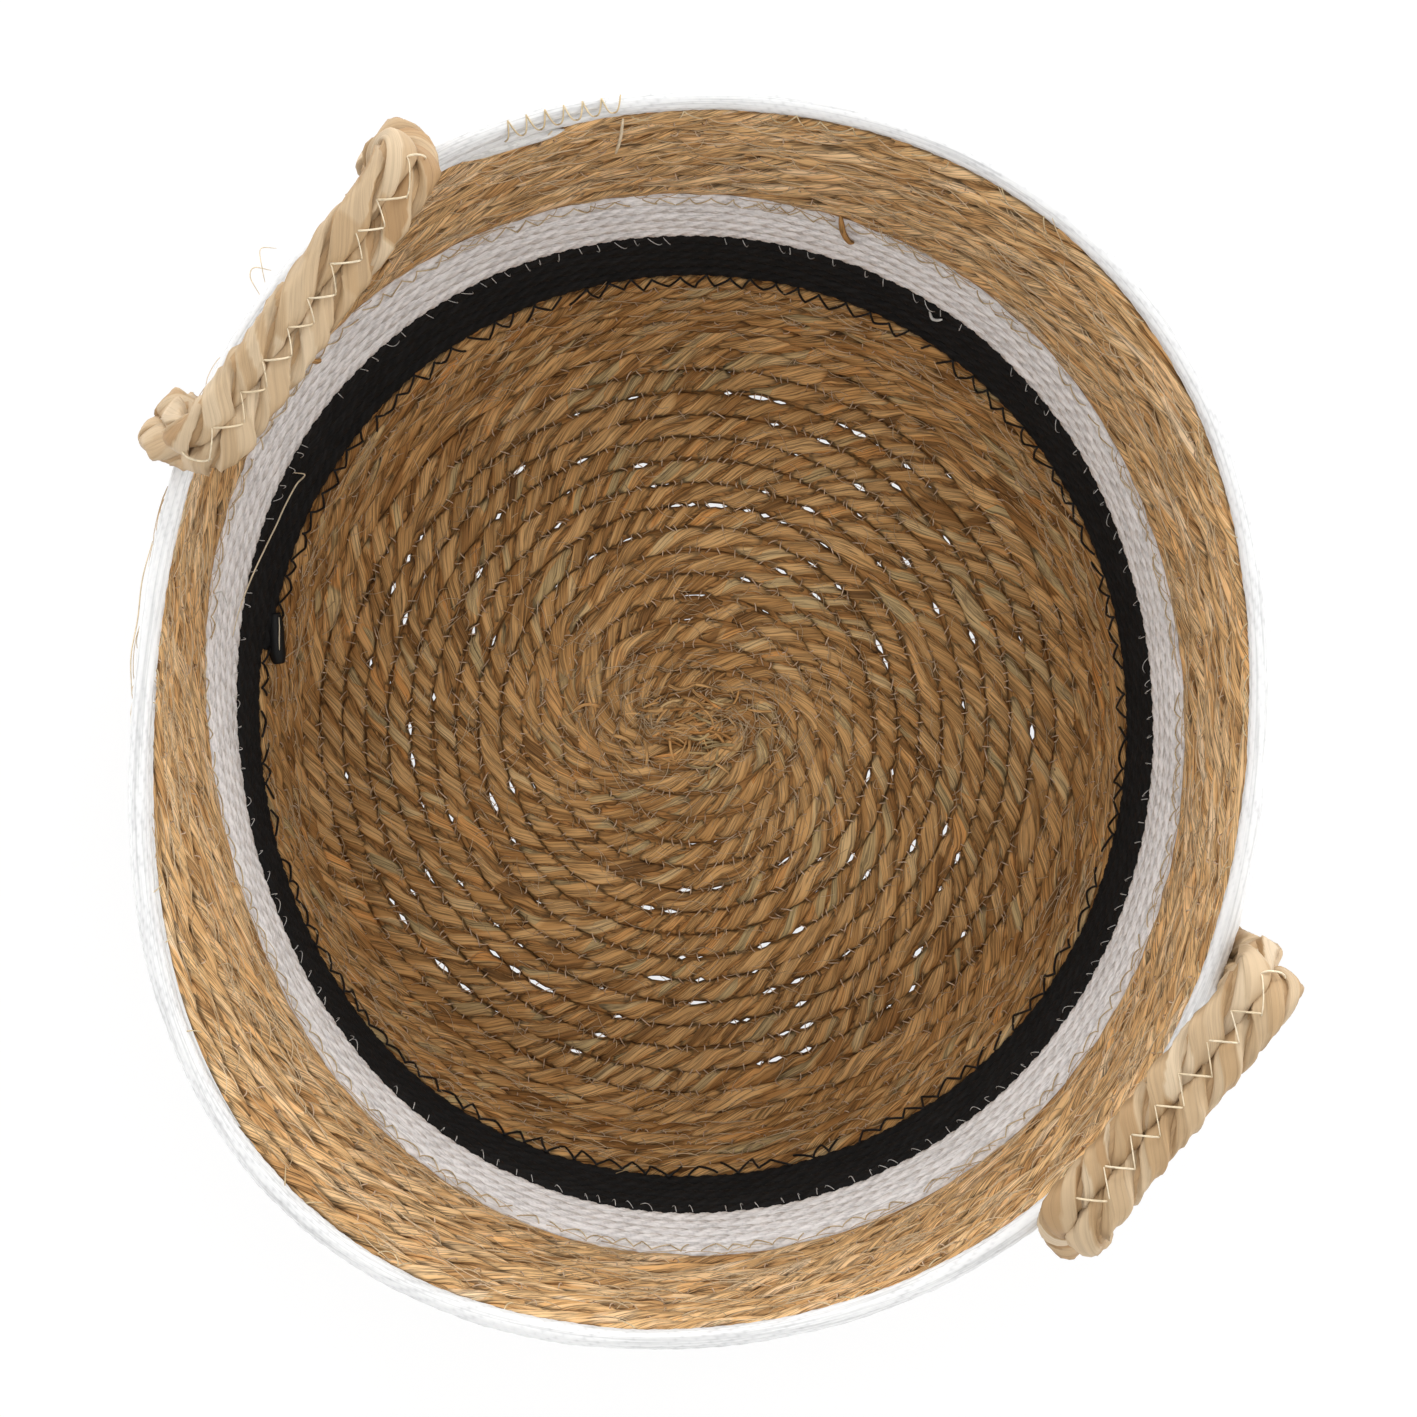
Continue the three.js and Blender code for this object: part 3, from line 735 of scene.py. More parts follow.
# The lower wall has the base's straw colours with painted light, made a little lighter than the base
LOWER_PAINTED_LIGHT = 1.15
LOWER_LEAVES = tuple((at, tuple(LOWER_PAINTED_LIGHT * part for part in color)) for at, color in STRAW_LEAVES)
GOLDEN_LEAVES = (
    (0.00, (0.480, 0.250, 0.090)),
    (0.10, (0.670, 0.395, 0.168)),
    (0.45, (0.800, 0.512, 0.242)),
    (0.70, (0.870, 0.596, 0.325)),
    (0.85, (0.820, 0.470, 0.190)),
    (1.00, (0.920, 0.690, 0.440)),
)
GOLDEN_STREAKS = ((0.33, grey(0.22)), (0.41, grey(0.74)), (0.50, grey(1.0)), (0.75, grey(1.12)))
PALE_LEAVES = (
    (0.00, (0.370, 0.225, 0.105)),
    (0.12, (0.425, 0.280, 0.145)),
    (0.50, (0.470, 0.330, 0.190)),
    (0.80, (0.525, 0.390, 0.245)),
    (1.00, (0.590, 0.460, 0.310)),
)
PALE_STREAKS = ((0.26, grey(0.72)), (0.38, grey(0.96)), (0.65, grey(1.04)))
# Cord colours run from painted shade down in the grooves between the strands' ridges up to the ridges' own
# colour, moved about by a random tone along the cord
BLACK_TONES_AND_GROOVE_SHADE = ((0, (0.004, 0.0037, 0.0037)), (1, (0.014, 0.013, 0.013)))
BLACK_STREAKS = ((0.3, grey(0.5)), (0.7, grey(1.3)))
WHITE_TONES_AND_GROOVE_SHADE = ((0, (0.70, 0.675, 0.67)), (0.45, (0.93, 0.90, 0.89)), (1, (0.96, 0.935, 0.925)))
WHITE_STREAKS = ((0.3, grey(0.8)), (0.5, grey(1.0)))
RIM_TONES_AND_GROOVE_SHADE = ((0, (0.64, 0.64, 0.64)), (0.4, (0.76, 0.76, 0.76)), (1, (0.80, 0.80, 0.79)))
RIM_STREAKS = ((0.3, grey(0.9)), (0.5, grey(1.0)))
THREAD_STREAKS = ((0.3, grey(0.8)), (0.6, grey(1.0)))

# Fibres of each kind: streaks for each metre along and across them, and strength of their ridges
STRAW_FIBRES = {"roughness": 0.75, "scale_along": 90, "scale_across": 1200, "bump": 0.5}
GOLDEN_FIBRES = {**STRAW_FIBRES, "scale_along": 110}
PALE_FIBRES = {"roughness": 0.6, "scale_along": 40, "scale_across": 900, "bump": 0.25}
CORD_FIBRES = {"roughness": 0.85, "scale_along": 120, "scale_across": 1500, "bump": 0.4}
RIM_FIBRES = {"roughness": 0.8, "scale_along": 20, "scale_across": 1200, "bump": 0.3}
HAIR_FIBRES = {"scale_along": 60, "scale_across": 900, "bump": 0.1}
THREAD_FIBRES = {"scale_along": 300, "scale_across": 900, "bump": 0.2}


def thread_material(name, dark, light, roughness, fibres=THREAD_FIBRES):
    return fibre_material(name, ((0, dark), (1, light)), THREAD_STREAKS, roughness, **fibres)


straw_material = fibre_material("straw_rope", STRAW_LEAVES, STRAW_STREAKS, **STRAW_FIBRES, crease=0.45)
lower_material = fibre_material("lower_straw", LOWER_LEAVES, STRAW_STREAKS, **STRAW_FIBRES, crease=0.35)
golden_material = fibre_material("golden_straw", GOLDEN_LEAVES, GOLDEN_STREAKS, **GOLDEN_FIBRES, crease=0.3)
handle_material = fibre_material("handle_straw", PALE_LEAVES, PALE_STREAKS, **PALE_FIBRES, crease=0.88)
black_material = fibre_material("black_cord", BLACK_TONES_AND_GROOVE_SHADE, BLACK_STREAKS, **CORD_FIBRES)
white_material = fibre_material("white_cord", WHITE_TONES_AND_GROOVE_SHADE, WHITE_STREAKS, **CORD_FIBRES)
rim_material = fibre_material("rim_cord", RIM_TONES_AND_GROOVE_SHADE, RIM_STREAKS, **RIM_FIBRES)
tan_thread_material = thread_material("tan_thread", (0.58, 0.44, 0.25), (0.76, 0.62, 0.40), 0.6)
seam_thread_material = thread_material("seam_thread", (0.50, 0.34, 0.22), (0.74, 0.56, 0.40), 0.6)
black_thread_material = thread_material("black_thread", (0.008, 0.008, 0.008), (0.02, 0.018, 0.018), 0.6)
white_thread_material = thread_material("white_thread", (0.70, 0.69, 0.67), (0.85, 0.84, 0.82), 0.7)
pale_thread_material = thread_material("pale_thread", (0.72, 0.58, 0.38), (0.86, 0.74, 0.54), 0.55)
hair_material = thread_material("loose_fibre", (0.50, 0.34, 0.18), (0.80, 0.63, 0.42), 0.6, HAIR_FIBRES)


# Ropes and cords

def pressed(part, limit):
    """Flattens what bulges out of a rope beyond a limit."""
    return part / (1 + (part / limit) ** 4) ** 0.25


def twisted_pair(rng, along, rope):
    """Two plies of leaves round each other: places across and above the middle, and the leaf at each."""
    pace = 1 + wander(rng, along, *TWIST_CHANGE)
    pace = pace + wander(rng, along, rope["uneven"], UNEVEN_LENGTH_IN_LAYS * rope["lay"])
    twist = np.cumsum(pace) * (along[1] - along[0]) * TURN / rope["lay"]
    turn = np.arange(rope["sides"]) * TURN / rope["sides"]
    leaves_round = rope["leaves_round"]
    across = []
    above = []
    leaves = []
    for ply in range(2):
        psi = (ply * math.pi - twist)[:, None]
        swell = 1 + wander(rng, along, rope["swell"], PLY_SWELL_LENGTH) + wander(rng, along, *PLY_SLOW_SWELL)
        leaf, lap = leaf_values(rng, along, rope)
        facet = math.cos(math.pi / leaves_round) / np.cos((lap - 0.5) * TURN / leaves_round)
        uneven = rope["lap"] * (lap - 0.5) + rope["rise"] * (leaf * LEAF_SHUFFLE % 1 - 0.5)
        outline = PLY_SIZE - rope["flatness"] * (1 - facet) + uneven
        outline = outline * swell[:, None] * (1 - PLY_BELLY * np.cos(2 * psi))
        radial = PLY_OFFSET + PLY_RADIAL * outline * np.cos(turn)
        sideways = rope["tangential"] * outline * np.sin(turn)
        across.append(pressed(radial * np.cos(psi) - sideways * np.sin(psi), rope["bulge"]))
        above.append(pressed(radial * np.sin(psi) + sideways * np.cos(psi), 1))
        leaves.append(leaf)
    return np.stack(across), np.stack(above), np.stack(leaves)


def openness(above):
    """How far a place on a ply lies out of the creases beside it, which sets the painted shade there: 0 at
    the bottom, 1 and more outside.
    """
    return (np.abs(above) - CREASE_TOP) / CREASE_DEPTH


def seam_openness(side):
    """How far a place on a ply lies off the seams to the next rows, which sets the painted shade there: 0 in
    them, 1 and more outside.
    """
    return (SEAM_AT - np.abs(side)) / SEAM_WIDTH


def rope_ends(node):
    """First and last step of a rope, with the part that thins out beside the rope before it."""
    first, last = rope_steps[node]
    return (first - THIN_STEPS if node in THIN_AT_START else first), last


def thinned(node, step):
    """Where a rope thins out: its share of the row's width, and how far it is moved across the row."""
    first, last = rope_steps[node]
    begun = np.clip((step - first) / THIN_STEPS + 1, THINNEST, 1)
    left = np.ones(len(step))
    if node in THIN_AT_END:
        steps, thinnest = THIN_AT_END[node]
        left = thinnest + (1 - thinnest) * np.clip((last - step) / steps, 0, 1)
    half_row = np.array([pitch_at(each) for each in step]) / 2
    return (begun * left)[:, None], (half_row * (left - begun))[:, None]


def thinned_height(share):
    """How thick a rope still is where it thins out to a share of its width."""
    return THINNEST_HEIGHT + (1 - THINNEST_HEIGHT) * share


def slanting(step, a, n):
    """Points of a rope at places across and above its middle, which slants along the rope."""
    centre, across, inward = coil_frame(step)
    leaning = across + PLY_SLANT * np.cross(across, inward)
    return centre[:, None, :] + a[..., None] * leaning[:, None, :] + n[..., None] * inward[:, None, :]


def open_seams(rng, step, distance):
    """How far the rope gives way at each ring, towards the next row and towards the row before."""
    near, far = GAP_REACH
    starts = (distance > near) & (distance < far) & (rng.random(len(step)) < GAP_SHARE)
    is_open = starts | np.roll(starts & (rng.random(len(step)) < GAP_RUN_SHARE), 1)
    outer = is_open * rng.uniform(*GAP_OPENINGS, len(step))
    slanted = 2 * PLY_SLANT * ROPE_HALF_WIDTH * STEPS_PER_TURN / (TURN * distance)
    inner = np.minimum(GAP_NEXT_ROW * np.interp(step - STEPS_PER_TURN - slanted, step, outer), 1)
    return outer[:, None], inner[:, None]


def rope_fill(rng, node, step, along, outer, inner):
    """The loose fibres inside a rope, as one flat dark tube."""
    share, shift = thinned(node, step)
    turn = np.arange(FILL_SIDES) * TURN / FILL_SIDES
    core = np.clip(1 - reach_at(step) / CORE_REACH, 0, FILL_CORE_LIMIT)[:, None]
    give = np.where(np.cos(turn) > 0, outer, inner)
    half_width = FILL_HALF_WIDTH * (1 - GAP_SQUEEZE * give) + FILL_CORE_GROWTH * core
    a = shift + share * half_width * np.cos(turn)
    n = share * FILL_HALF_THICKNESS * np.sin(turn)
    return bundle(slanting(step, a, n)[None], along[None], FILL_LEAF, rng.random(1), GRAIN_RADIUS)


def core_directions():
    """The ways along the hairpin in the middle of the base and beside it, and the way up."""
    ahead = np.array([math.cos(CORE_ANGLE), math.sin(CORE_ANGLE), 0])
    beside = np.array([-math.sin(CORE_ANGLE), math.cos(CORE_ANGLE), 0])
    return ahead, beside, np.array([0.0, 0.0, 1.0])


def rope_tuft(rng):
    """The tucked start of the rope, which closes the middle of the base."""
    ahead, beside, up = core_directions()
    path = np.linspace(*TUFT_ENDS, TUFT_RINGS)[:, None] * ahead + TUFT_BESIDE * beside + TUFT_HEIGHT * up
    return round_tubes(rng, path[None], np.repeat(up[None], TUFT_RINGS, axis=0)[None], **TUFT)


def straw_rope(name, node, material, rope):
    """A straw rope of the coil, pressed against the rows beside it."""
    rng = np.random.default_rng(rope["seed"])
    step, along = walk(*rope_ends(node), rope["spacing"])
    share, shift = thinned(node, step)
    outer, inner = open_seams(rng, step, reach_at(step))
    drift = wander(rng, along, *ROPE_DRIFT)[:, None]
    side, above, leaves = twisted_pair(rng, along, rope)
    squeezed = side * (1 - GAP_SQUEEZE * np.where(side > 0, outer, inner))
    a = shift + share * (ROPE_HALF_WIDTH * squeezed + drift * (1 - np.maximum(outer, inner)))
    n = rope["half_thickness"] * above * thinned_height(share)
    if node == "upper_wall_rope":
        first_row_end = rope_steps[node][0] + STEPS_PER_TURN
        first_row = np.clip((first_row_end - step) / LIP_FADE_STEPS, 0, 1)[:, None]
        n = n * (1 - LIP_FLATNESS * first_row * np.clip(0.5 - side, 0, 1))
    points = slanting(step, a, n)
    # Painted shade: darker down in the creases between the plies and in the seams to the next rows
    painted_light_share = np.minimum(openness(above), seam_openness(side))
    bundles = [
        bundle(points, np.stack([along, along]), leaves, rng.random(2), GRAIN_RADIUS, painted_light_share),
        rope_fill(rng, node, step, along, outer, inner),
    ]
    if node == "base_coil":
        bundles.append(rope_tuft(rng))
    return make_tubes(name, bundles, material)


def twisted_cord(name, node, material, cord):
    """A fine cord, seen as one tube with the ridges of its strands running round it."""
    rng = np.random.default_rng(cord["seed"])
    lobes = cord["lobes"]
    sides = SIDES_PER_LOBE * lobes
    step, along = walk(*rope_ends(node), cord["spacing"])
    centre, across, inward = coil_frame(step)
    share, shift = thinned(node, step)
    turn = np.arange(sides) * TURN / sides
    pace = 1 + wander(rng, along, *CORD_TWIST_CHANGE)
    twist = (np.cumsum(pace) * (along[1] - along[0]) * TURN / cord["lay"])[:, None]
    swell = 1 + wander(rng, along, *CORD_SWELL) + wander(rng, along, *CORD_SLOW_SWELL)
    ridge = np.cos(lobes * (turn + twist))
    outline = swell[:, None] * (1 + cord["depth"] * ridge)
    a = shift + share * cord["half_width"] * outline * np.cos(turn)
    n = cord["half_thickness"] * outline * np.sin(turn) * thinned_height(share)
    points = centre[:, None, :] + a[:, :, None] * across[:, None, :] + n[:, :, None] * inward[:, None, :]
    # Painted shade: darker in the grooves between the ridges, lighter on their tops, with a random tone that
    # comes and goes along the cord
    leaf = np.clip(0.5 + 0.5 * ridge + wander(rng, along, *CORD_SHADE_CHANGE)[:, None], 0, 1)
    tube = bundle(points[None], along[None], leaf[None], rng.random(1), cord["half_width"])
    return make_tubes(name, [tube], material)


def place(piece, slot, *nodes, body="basket"):
    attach(piece, body)
    if nodes:
        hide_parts(*nodes)


for piece_name, rope_node, rope_material, rope_form in (
    ("base_rope", "base_coil", straw_material, BASE_ROPE),
    ("lower_wall_straw", "lower_wall_rope", lower_material, LOWER_ROPE),
    ("upper_wall_straw", "upper_wall_rope", golden_material, UPPER_ROPE),
):
    place(straw_rope(piece_name, rope_node, rope_material, rope_form), "straw_rope", rope_node)
for piece_name, rope_node, cord_slot, cord_material, cord_form in (
    ("black_band", "black_rope", "black_cord", black_material, BLACK_CORD),
    ("white_band", "white_rope", "white_cord", white_material, WHITE_CORD),
    ("rim_cord", "rim_rope", "rim_cord", rim_material, RIM_CORD),
):
    place(twisted_cord(piece_name, rope_node, cord_material, cord_form), cord_slot, rope_node)


# Sewing

def strokes(rng, starts, ends, normals, radius, bow, sink, bend=None, rings=6, sides=5):
    """Short stitches from point to point that bow out in the middle and dive in at their ends."""
    part = np.linspace(0, 1, rings)[None, :, None]
    paths = starts[:, None, :] * (1 - part) + ends[:, None, :] * part
    lift = bow * np.sin(math.pi * part) - sink * np.abs(2 * part - 1) ** 4
    paths = paths + lift * normals[:, None, :]
    if bend is not None:
        paths = paths + np.sin(math.pi * part) * bend[:, None, :]
    return round_tubes(rng, paths, np.repeat(normals[:, None, :], rings, axis=1), radius, sides)


def steps_along(rng, first, last, spacing, share):
    """Steps at an uneven spacing along the coil, of which a share is kept."""
    step = walk(first, last, spacing)[0]
    step = step + rng.uniform(-STITCH_JITTER, STITCH_JITTER, len(step)) * np.gradient(step)
    return step[rng.random(len(step)) < share]


def seam_stitches(rng, first, last, spacing, share, face):
    """Thin stitches over the seam between each row and the next one, on the inside or the outside."""
    step = steps_along(rng, first, last, spacing, share)
    centre, up, into = coil_frame(step)
    pitch = np.linalg.norm(coil_points(step + STEPS_PER_TURN) - centre, axis=-1)
    tangent = np.cross(up, into)
    count = len(step)
    seam = centre + up * (pitch / 2)[:, None] + into * (face * SEAM_STITCH_OUT)
    height = SEAM_STITCH_RISE * rng.uniform(*SEAM_STITCH_RISES, count)[:, None]
    run = SEAM_STITCH_RUN * rng.normal(0, 1, count)[:, None]
    half = up * height + tangent * run
    bend = tangent * rng.normal(0, SEAM_STITCH_BEND, count)[:, None]
    return strokes(rng, seam - half, seam + half, into * face, bend=bend, **SEAM_THREAD)


def hairs(rng, first, last, kind, face):
    """Loose fibres that lie on the ropes, mostly along them, on the inside or the outside."""
    count = kind["inside" if face == INSIDE else "outside"]
    longest = kind["longest"]
    centre, up, into = coil_frame(rng.uniform(first, last, count))
    tangent = np.cross(up, into)
    angle = rng.normal(0, kind["spread"], count)[:, None]
    along = tangent * np.cos(angle) + up * np.sin(angle)
    beside = up * np.cos(angle) - tangent * np.sin(angle)
    half = along * (longest * rng.uniform(*HAIR_HALF_LENGTHS, count))[:, None]
    place_across = rng.uniform(-HAIR_ACROSS, HAIR_ACROSS, count)[:, None]
    middle = centre + up * place_across + into * (face * HAIR_OUT)
    bend = beside * rng.normal(0, HAIR_BEND * longest, count)[:, None]
    return strokes(rng, middle - half, middle + half, into * face, kind["radius"], bend=bend, **HAIR_FORM)


def sew_coil():
    rng = np.random.default_rng(COIL_SEWING_SEED)
    lower_first, lower_last = rope_steps["lower_wall_rope"]
    upper_first, upper_last = rope_steps["upper_wall_rope"]
    lower = (lower_first, lower_last - STEPS_PER_TURN)
    upper = (upper_first, upper_last - STEPS_PER_TURN)
    groups = [
        seam_stitches(rng, FIRST_SEWN_STEP, lower_first, *BASE_STITCHES, INSIDE),
        seam_stitches(rng, *lower, *LOWER_STITCHES, INSIDE),
        seam_stitches(rng, *upper, *UPPER_STITCHES, INSIDE),
        seam_stitches(rng, *lower, *LOWER_STITCHES, OUTSIDE),
        seam_stitches(rng, *upper, *UPPER_OUTSIDE_STITCHES, OUTSIDE),
    ]
    place(make_tubes("coil_sewing", groups, seam_thread_material), "tan_thread")


def loose_fibres():
    rng = np.random.default_rng(FIBRE_SEED)
    lower = (*rope_steps["lower_wall_rope"], LOWER_HAIRS)
    upper = (*rope_steps["upper_wall_rope"], UPPER_HAIRS)
    groups = [
        hairs(rng, 0, CORE_LAST_STEP, CORE_HAIRS, INSIDE),
        hairs(rng, CORE_LAST_STEP, rope_steps["base_coil"][1], BASE_HAIRS, INSIDE),
        hairs(rng, *lower, INSIDE),
        hairs(rng, *upper, INSIDE),
        hairs(rng, *lower, OUTSIDE),
        hairs(rng, *upper, OUTSIDE),
    ]
    place(make_tubes("loose_fibres", groups, hair_material), "straw_rope")


def seam_frame(step, inward=0):
    """Places at the seam below each step, and the ways up the wall, inwards and along the rope there."""
    centre, up, into = coil_frame(step)
    seam = (centre + coil_points(step - STEPS_PER_TURN)) / 2 + into * inward
    return seam, up, into, np.cross(up, into)


def zigzag(rng, upper_node, spacing, share, low, high, radius, inward, bow, whole_at=()):
    """A thread that runs down and up over the seam below a rope, on the inside of the wall."""
    first = rope_steps[upper_node][0]
    step = walk(first, first + STEPS_PER_TURN, spacing / 2)[0]
    step = step + rng.uniform(-ZIGZAG_JITTER, ZIGZAG_JITTER, len(step)) * np.gradient(step)
    seam, up, into, tangent = seam_frame(step, inward)
    is_top = np.arange(len(step)) % 2 == 0
    height = np.where(is_top, high, -low) * rng.uniform(*ZIGZAG_HEIGHTS, len(step))
    points = seam + up * height[:, None]
    kept = rng.random(len(step) - 1) < share
    bearing = np.arctan2(points[:-1, 1], points[:-1, 0])
    for at, reach_beside in whole_at:
        kept |= np.abs((bearing - math.radians(at) + math.pi) % TURN - math.pi) < math.radians(reach_beside)
    bend = tangent * rng.normal(0, ZIGZAG_BEND * spacing, len(step))[:, None]
    starts, normals, bend = (values[:-1][kept] for values in (points, into, bend))
    return strokes(rng, starts, points[1:][kept], normals, radius, bow, ZIGZAG_SINK, bend, ZIGZAG_RINGS)


def wisps(rng, upper_node):
    """Loose thread ends that stand out below a rope, on the inside of the wall."""
    first = rope_steps[upper_node][0]
    step = steps_along(rng, first, first + STEPS_PER_TURN, WISP_SPACING, WISP_SHARE)
    count = len(step)
    seam, up, into, tangent = seam_frame(step, WISP_INWARD)
    down = WISP_LONGEST * rng.uniform(*WISP_LENGTHS, count)[:, None]
    beside = down * rng.normal(*WISP_BESIDE, count)[:, None]
    bend = tangent * (WISP_LONGEST * rng.normal(*WISP_BEND, count))[:, None]
    end = seam - up * down + tangent * beside
    return strokes(rng, seam + up * WISP_START, end, into, bend=bend, **WISP_THREAD)


def rim_end_stitches(rng):
    """Stitches over the top of the rim, where its end is sewn down."""
    last = rope_steps["rim_rope"][1]
    step = walk(last - RIM_END_STITCHED, last + RIM_END_PASSED, RIM_STITCH_SPACING / 2)[0]
    centre, up, into = coil_frame(step)
    is_inside = np.arange(len(step)) % 2 == 0
    share, shift = thinned("rim_rope", step)
    inside = centre + into * RIM_STITCH_INWARD - up * RIM_STITCH_DOWN
    outside = centre - into * RIM_STITCH_OUTWARD + up * (shift + share * RIM_STITCH_UP)
    points = np.where(is_inside[:, None], inside, outside)
    normal = unit(RIM_STITCH_LEAN * up + into)
    return strokes(rng, points[:-1], points[1:], normal[:-1], **RIM_END_THREAD)


def core_shreds(rng):
    """Torn bits of leaf over the start of the rope, in the middle of the base."""
    ahead, beside, up = core_directions()
    heading = CORE_ANGLE + rng.normal(0, SHRED_SPREAD, SHREDS)
    middles = SHRED_HEIGHT * up
    for direction, reach_out in zip((ahead, beside), SHRED_REACH):
        middles = middles + rng.normal(0, reach_out, SHREDS)[:, None] * direction
    half_lengths = rng.uniform(*SHRED_HALF_LENGTHS, SHREDS)[:, None]
    half = half_lengths * np.stack([np.cos(heading), np.sin(heading), np.zeros(SHREDS)], axis=-1)
    normals = np.repeat(up[None], SHREDS, axis=0)
    bend = np.cross(normals, half) * rng.normal(0, SHRED_BEND, SHREDS)[:, None]
    radius = rng.uniform(*SHRED_RADII, SHREDS)
    return strokes(rng, middles - half, middles + half, normals, radius, bend=bend, **SHRED_FORM)


def sew_bands():
    rng = np.random.default_rng(BAND_SEWING_SEED)
    black = [zigzag(rng, "black_rope", **BLACK_ZIGZAG), tube_through(rng, "black_rope", **CORD_TAG)]
    place(make_tubes("black_sewing", black, black_thread_material), "black_thread", "black_seam_thread")
    white = [wisps(rng, "white_rope"), *loose_ends(rng, "white"), tube_through(rng, "rim_rope", **RIM_TAG)]
    place(make_tubes("white_sewing", white, white_thread_material), "white_thread", "white_seam_thread")
    tan = [zigzag(rng, "upper_wall_rope", **TAN_ZIGZAG)]
    place(make_tubes("tan_sewing", tan, tan_thread_material), "tan_thread", "tan_seam_thread")
    rim = [zigzag(rng, "rim_rope", **RIM_ZIGZAG), rim_end_stitches(rng)]
    place(make_tubes("rim_sewing", rim, tan_thread_material), "tan_thread", "rim_seam_thread")
    pale = loose_ends(rng, "pale")
    place(make_tubes("loose_threads", pale, pale_thread_material), "pale_thread")
    stems = [*loose_ends(rng, "straw"), core_shreds(rng)]
    place(make_tubes("loose_stems", stems, straw_material), "straw_rope")


# Loose ends

def spot(node, bearing, above, lift):
    """A point on the inside of the wall: its bearing, height above the seam below a rope and lift off it."""
    first = rope_steps[node][0]
    start = math.degrees(COIL_START_ANGLE) - first * 360 / STEPS_PER_TURN
    step = np.array([first + (start - bearing) % 360 * STEPS_PER_TURN / 360])
    seam, up, into, _ = seam_frame(step)
    return (seam + up * above * MM + into * lift * MM)[0], into[0]


def curve_through(points, rings):
    """Smooth line through a few points."""
    knots = np.vstack([2 * points[0] - points[1], points, 2 * points[-1] - points[-2]])
    at = np.linspace(0, len(points) - 1, rings)
    first = np.minimum(at.astype(int), len(points) - 2)
    t = (at - first)[:, None]
    a, b, c, d = (knots[first + k] for k in range(4))
    return b + (c - a) * t / 2 + (a - 2.5 * b + 2 * c - d / 2) * t**2 + (1.5 * (b - c) + (d - a) / 2) * t**3


def tube_through(rng, node, places, radius, sides, taper):
    """One round tube through places on the wall, each a bearing, a height and a lift."""
    spots = [spot(node, *place_on_wall) for place_on_wall in places]
    path = curve_through(np.array([point for point, _ in spots]), RINGS_PER_PLACE * len(places))
    normals = np.repeat(np.mean([into for _, into in spots], axis=0)[None], len(path), axis=0)
    return round_tubes(rng, path[None], normals[None], radius, sides, taper)


def loose_ends(rng, kind):
    return [
        tube_through(rng, node, places, radius, **LOOSE_FORM)
        for thread_kind, node, radius, places in LOOSE_THREADS if thread_kind == kind
    ]


sew_coil()
loose_fibres()
sew_bands()


# Handles

def end_of(node, top):
    """Middle of the upper or the lower end of a sewn end."""
    mesh = frame["nodes"][node].data
    points = np.empty(3 * len(mesh.vertices))
    mesh.vertices.foreach_get("co", points)
    points = points.reshape(-1, 3)
    height = points[:, 2].max() if top else points[:, 2].min()
    return points[np.abs(points[:, 2] - height) < END_FACE_DEPTH].mean(axis=0)


def smooth(values, count):
    """Moving mean that keeps the ends where they are."""
    padded = np.pad(values, ((count, count), (0, 0)), mode="edge")
    kernel = np.ones(2 * count + 1) / (2 * count + 1)
    columns = [np.convolve(padded[:, column], kernel, mode="valid") for column in range(values.shape[1])]
    return np.stack(columns, axis=-1)


def values_at(places, walked, values):
    """Points or directions at places along a path, from the ones at the distances walked."""
    return np.stack([np.interp(places, walked, values[:, axis]) for axis in range(3)], axis=-1)


def half_loop(half, rise):
    """Half of a handle's loop, from hinge to middle: place along it, height, tilt and share of its twist."""
    leg_top = rise - LOOP_CORNER_RADIUS
    rows = []
    for height in np.arange(0, leg_top, HANDLE_FINE_STEP):
        twist = np.clip((height - LEG_TWIST_START) / (leg_top - LEG_TWIST_START), 0, 1)
        rows.append((-half, height, 0.0, twist))
    for angle in np.arange(0, math.pi / 2, HANDLE_FINE_STEP / LOOP_CORNER_RADIUS):
        x = -half + LOOP_CORNER_RADIUS * (1 - math.cos(angle))
        rows.append((x, leg_top + LOOP_CORNER_RADIUS * math.sin(angle), angle, 1.0))
    for x in np.arange(-half + LOOP_CORNER_RADIUS, 0, HANDLE_FINE_STEP):
        rows.append((x, rise, math.pi / 2, 1.0))
    return np.array(rows)


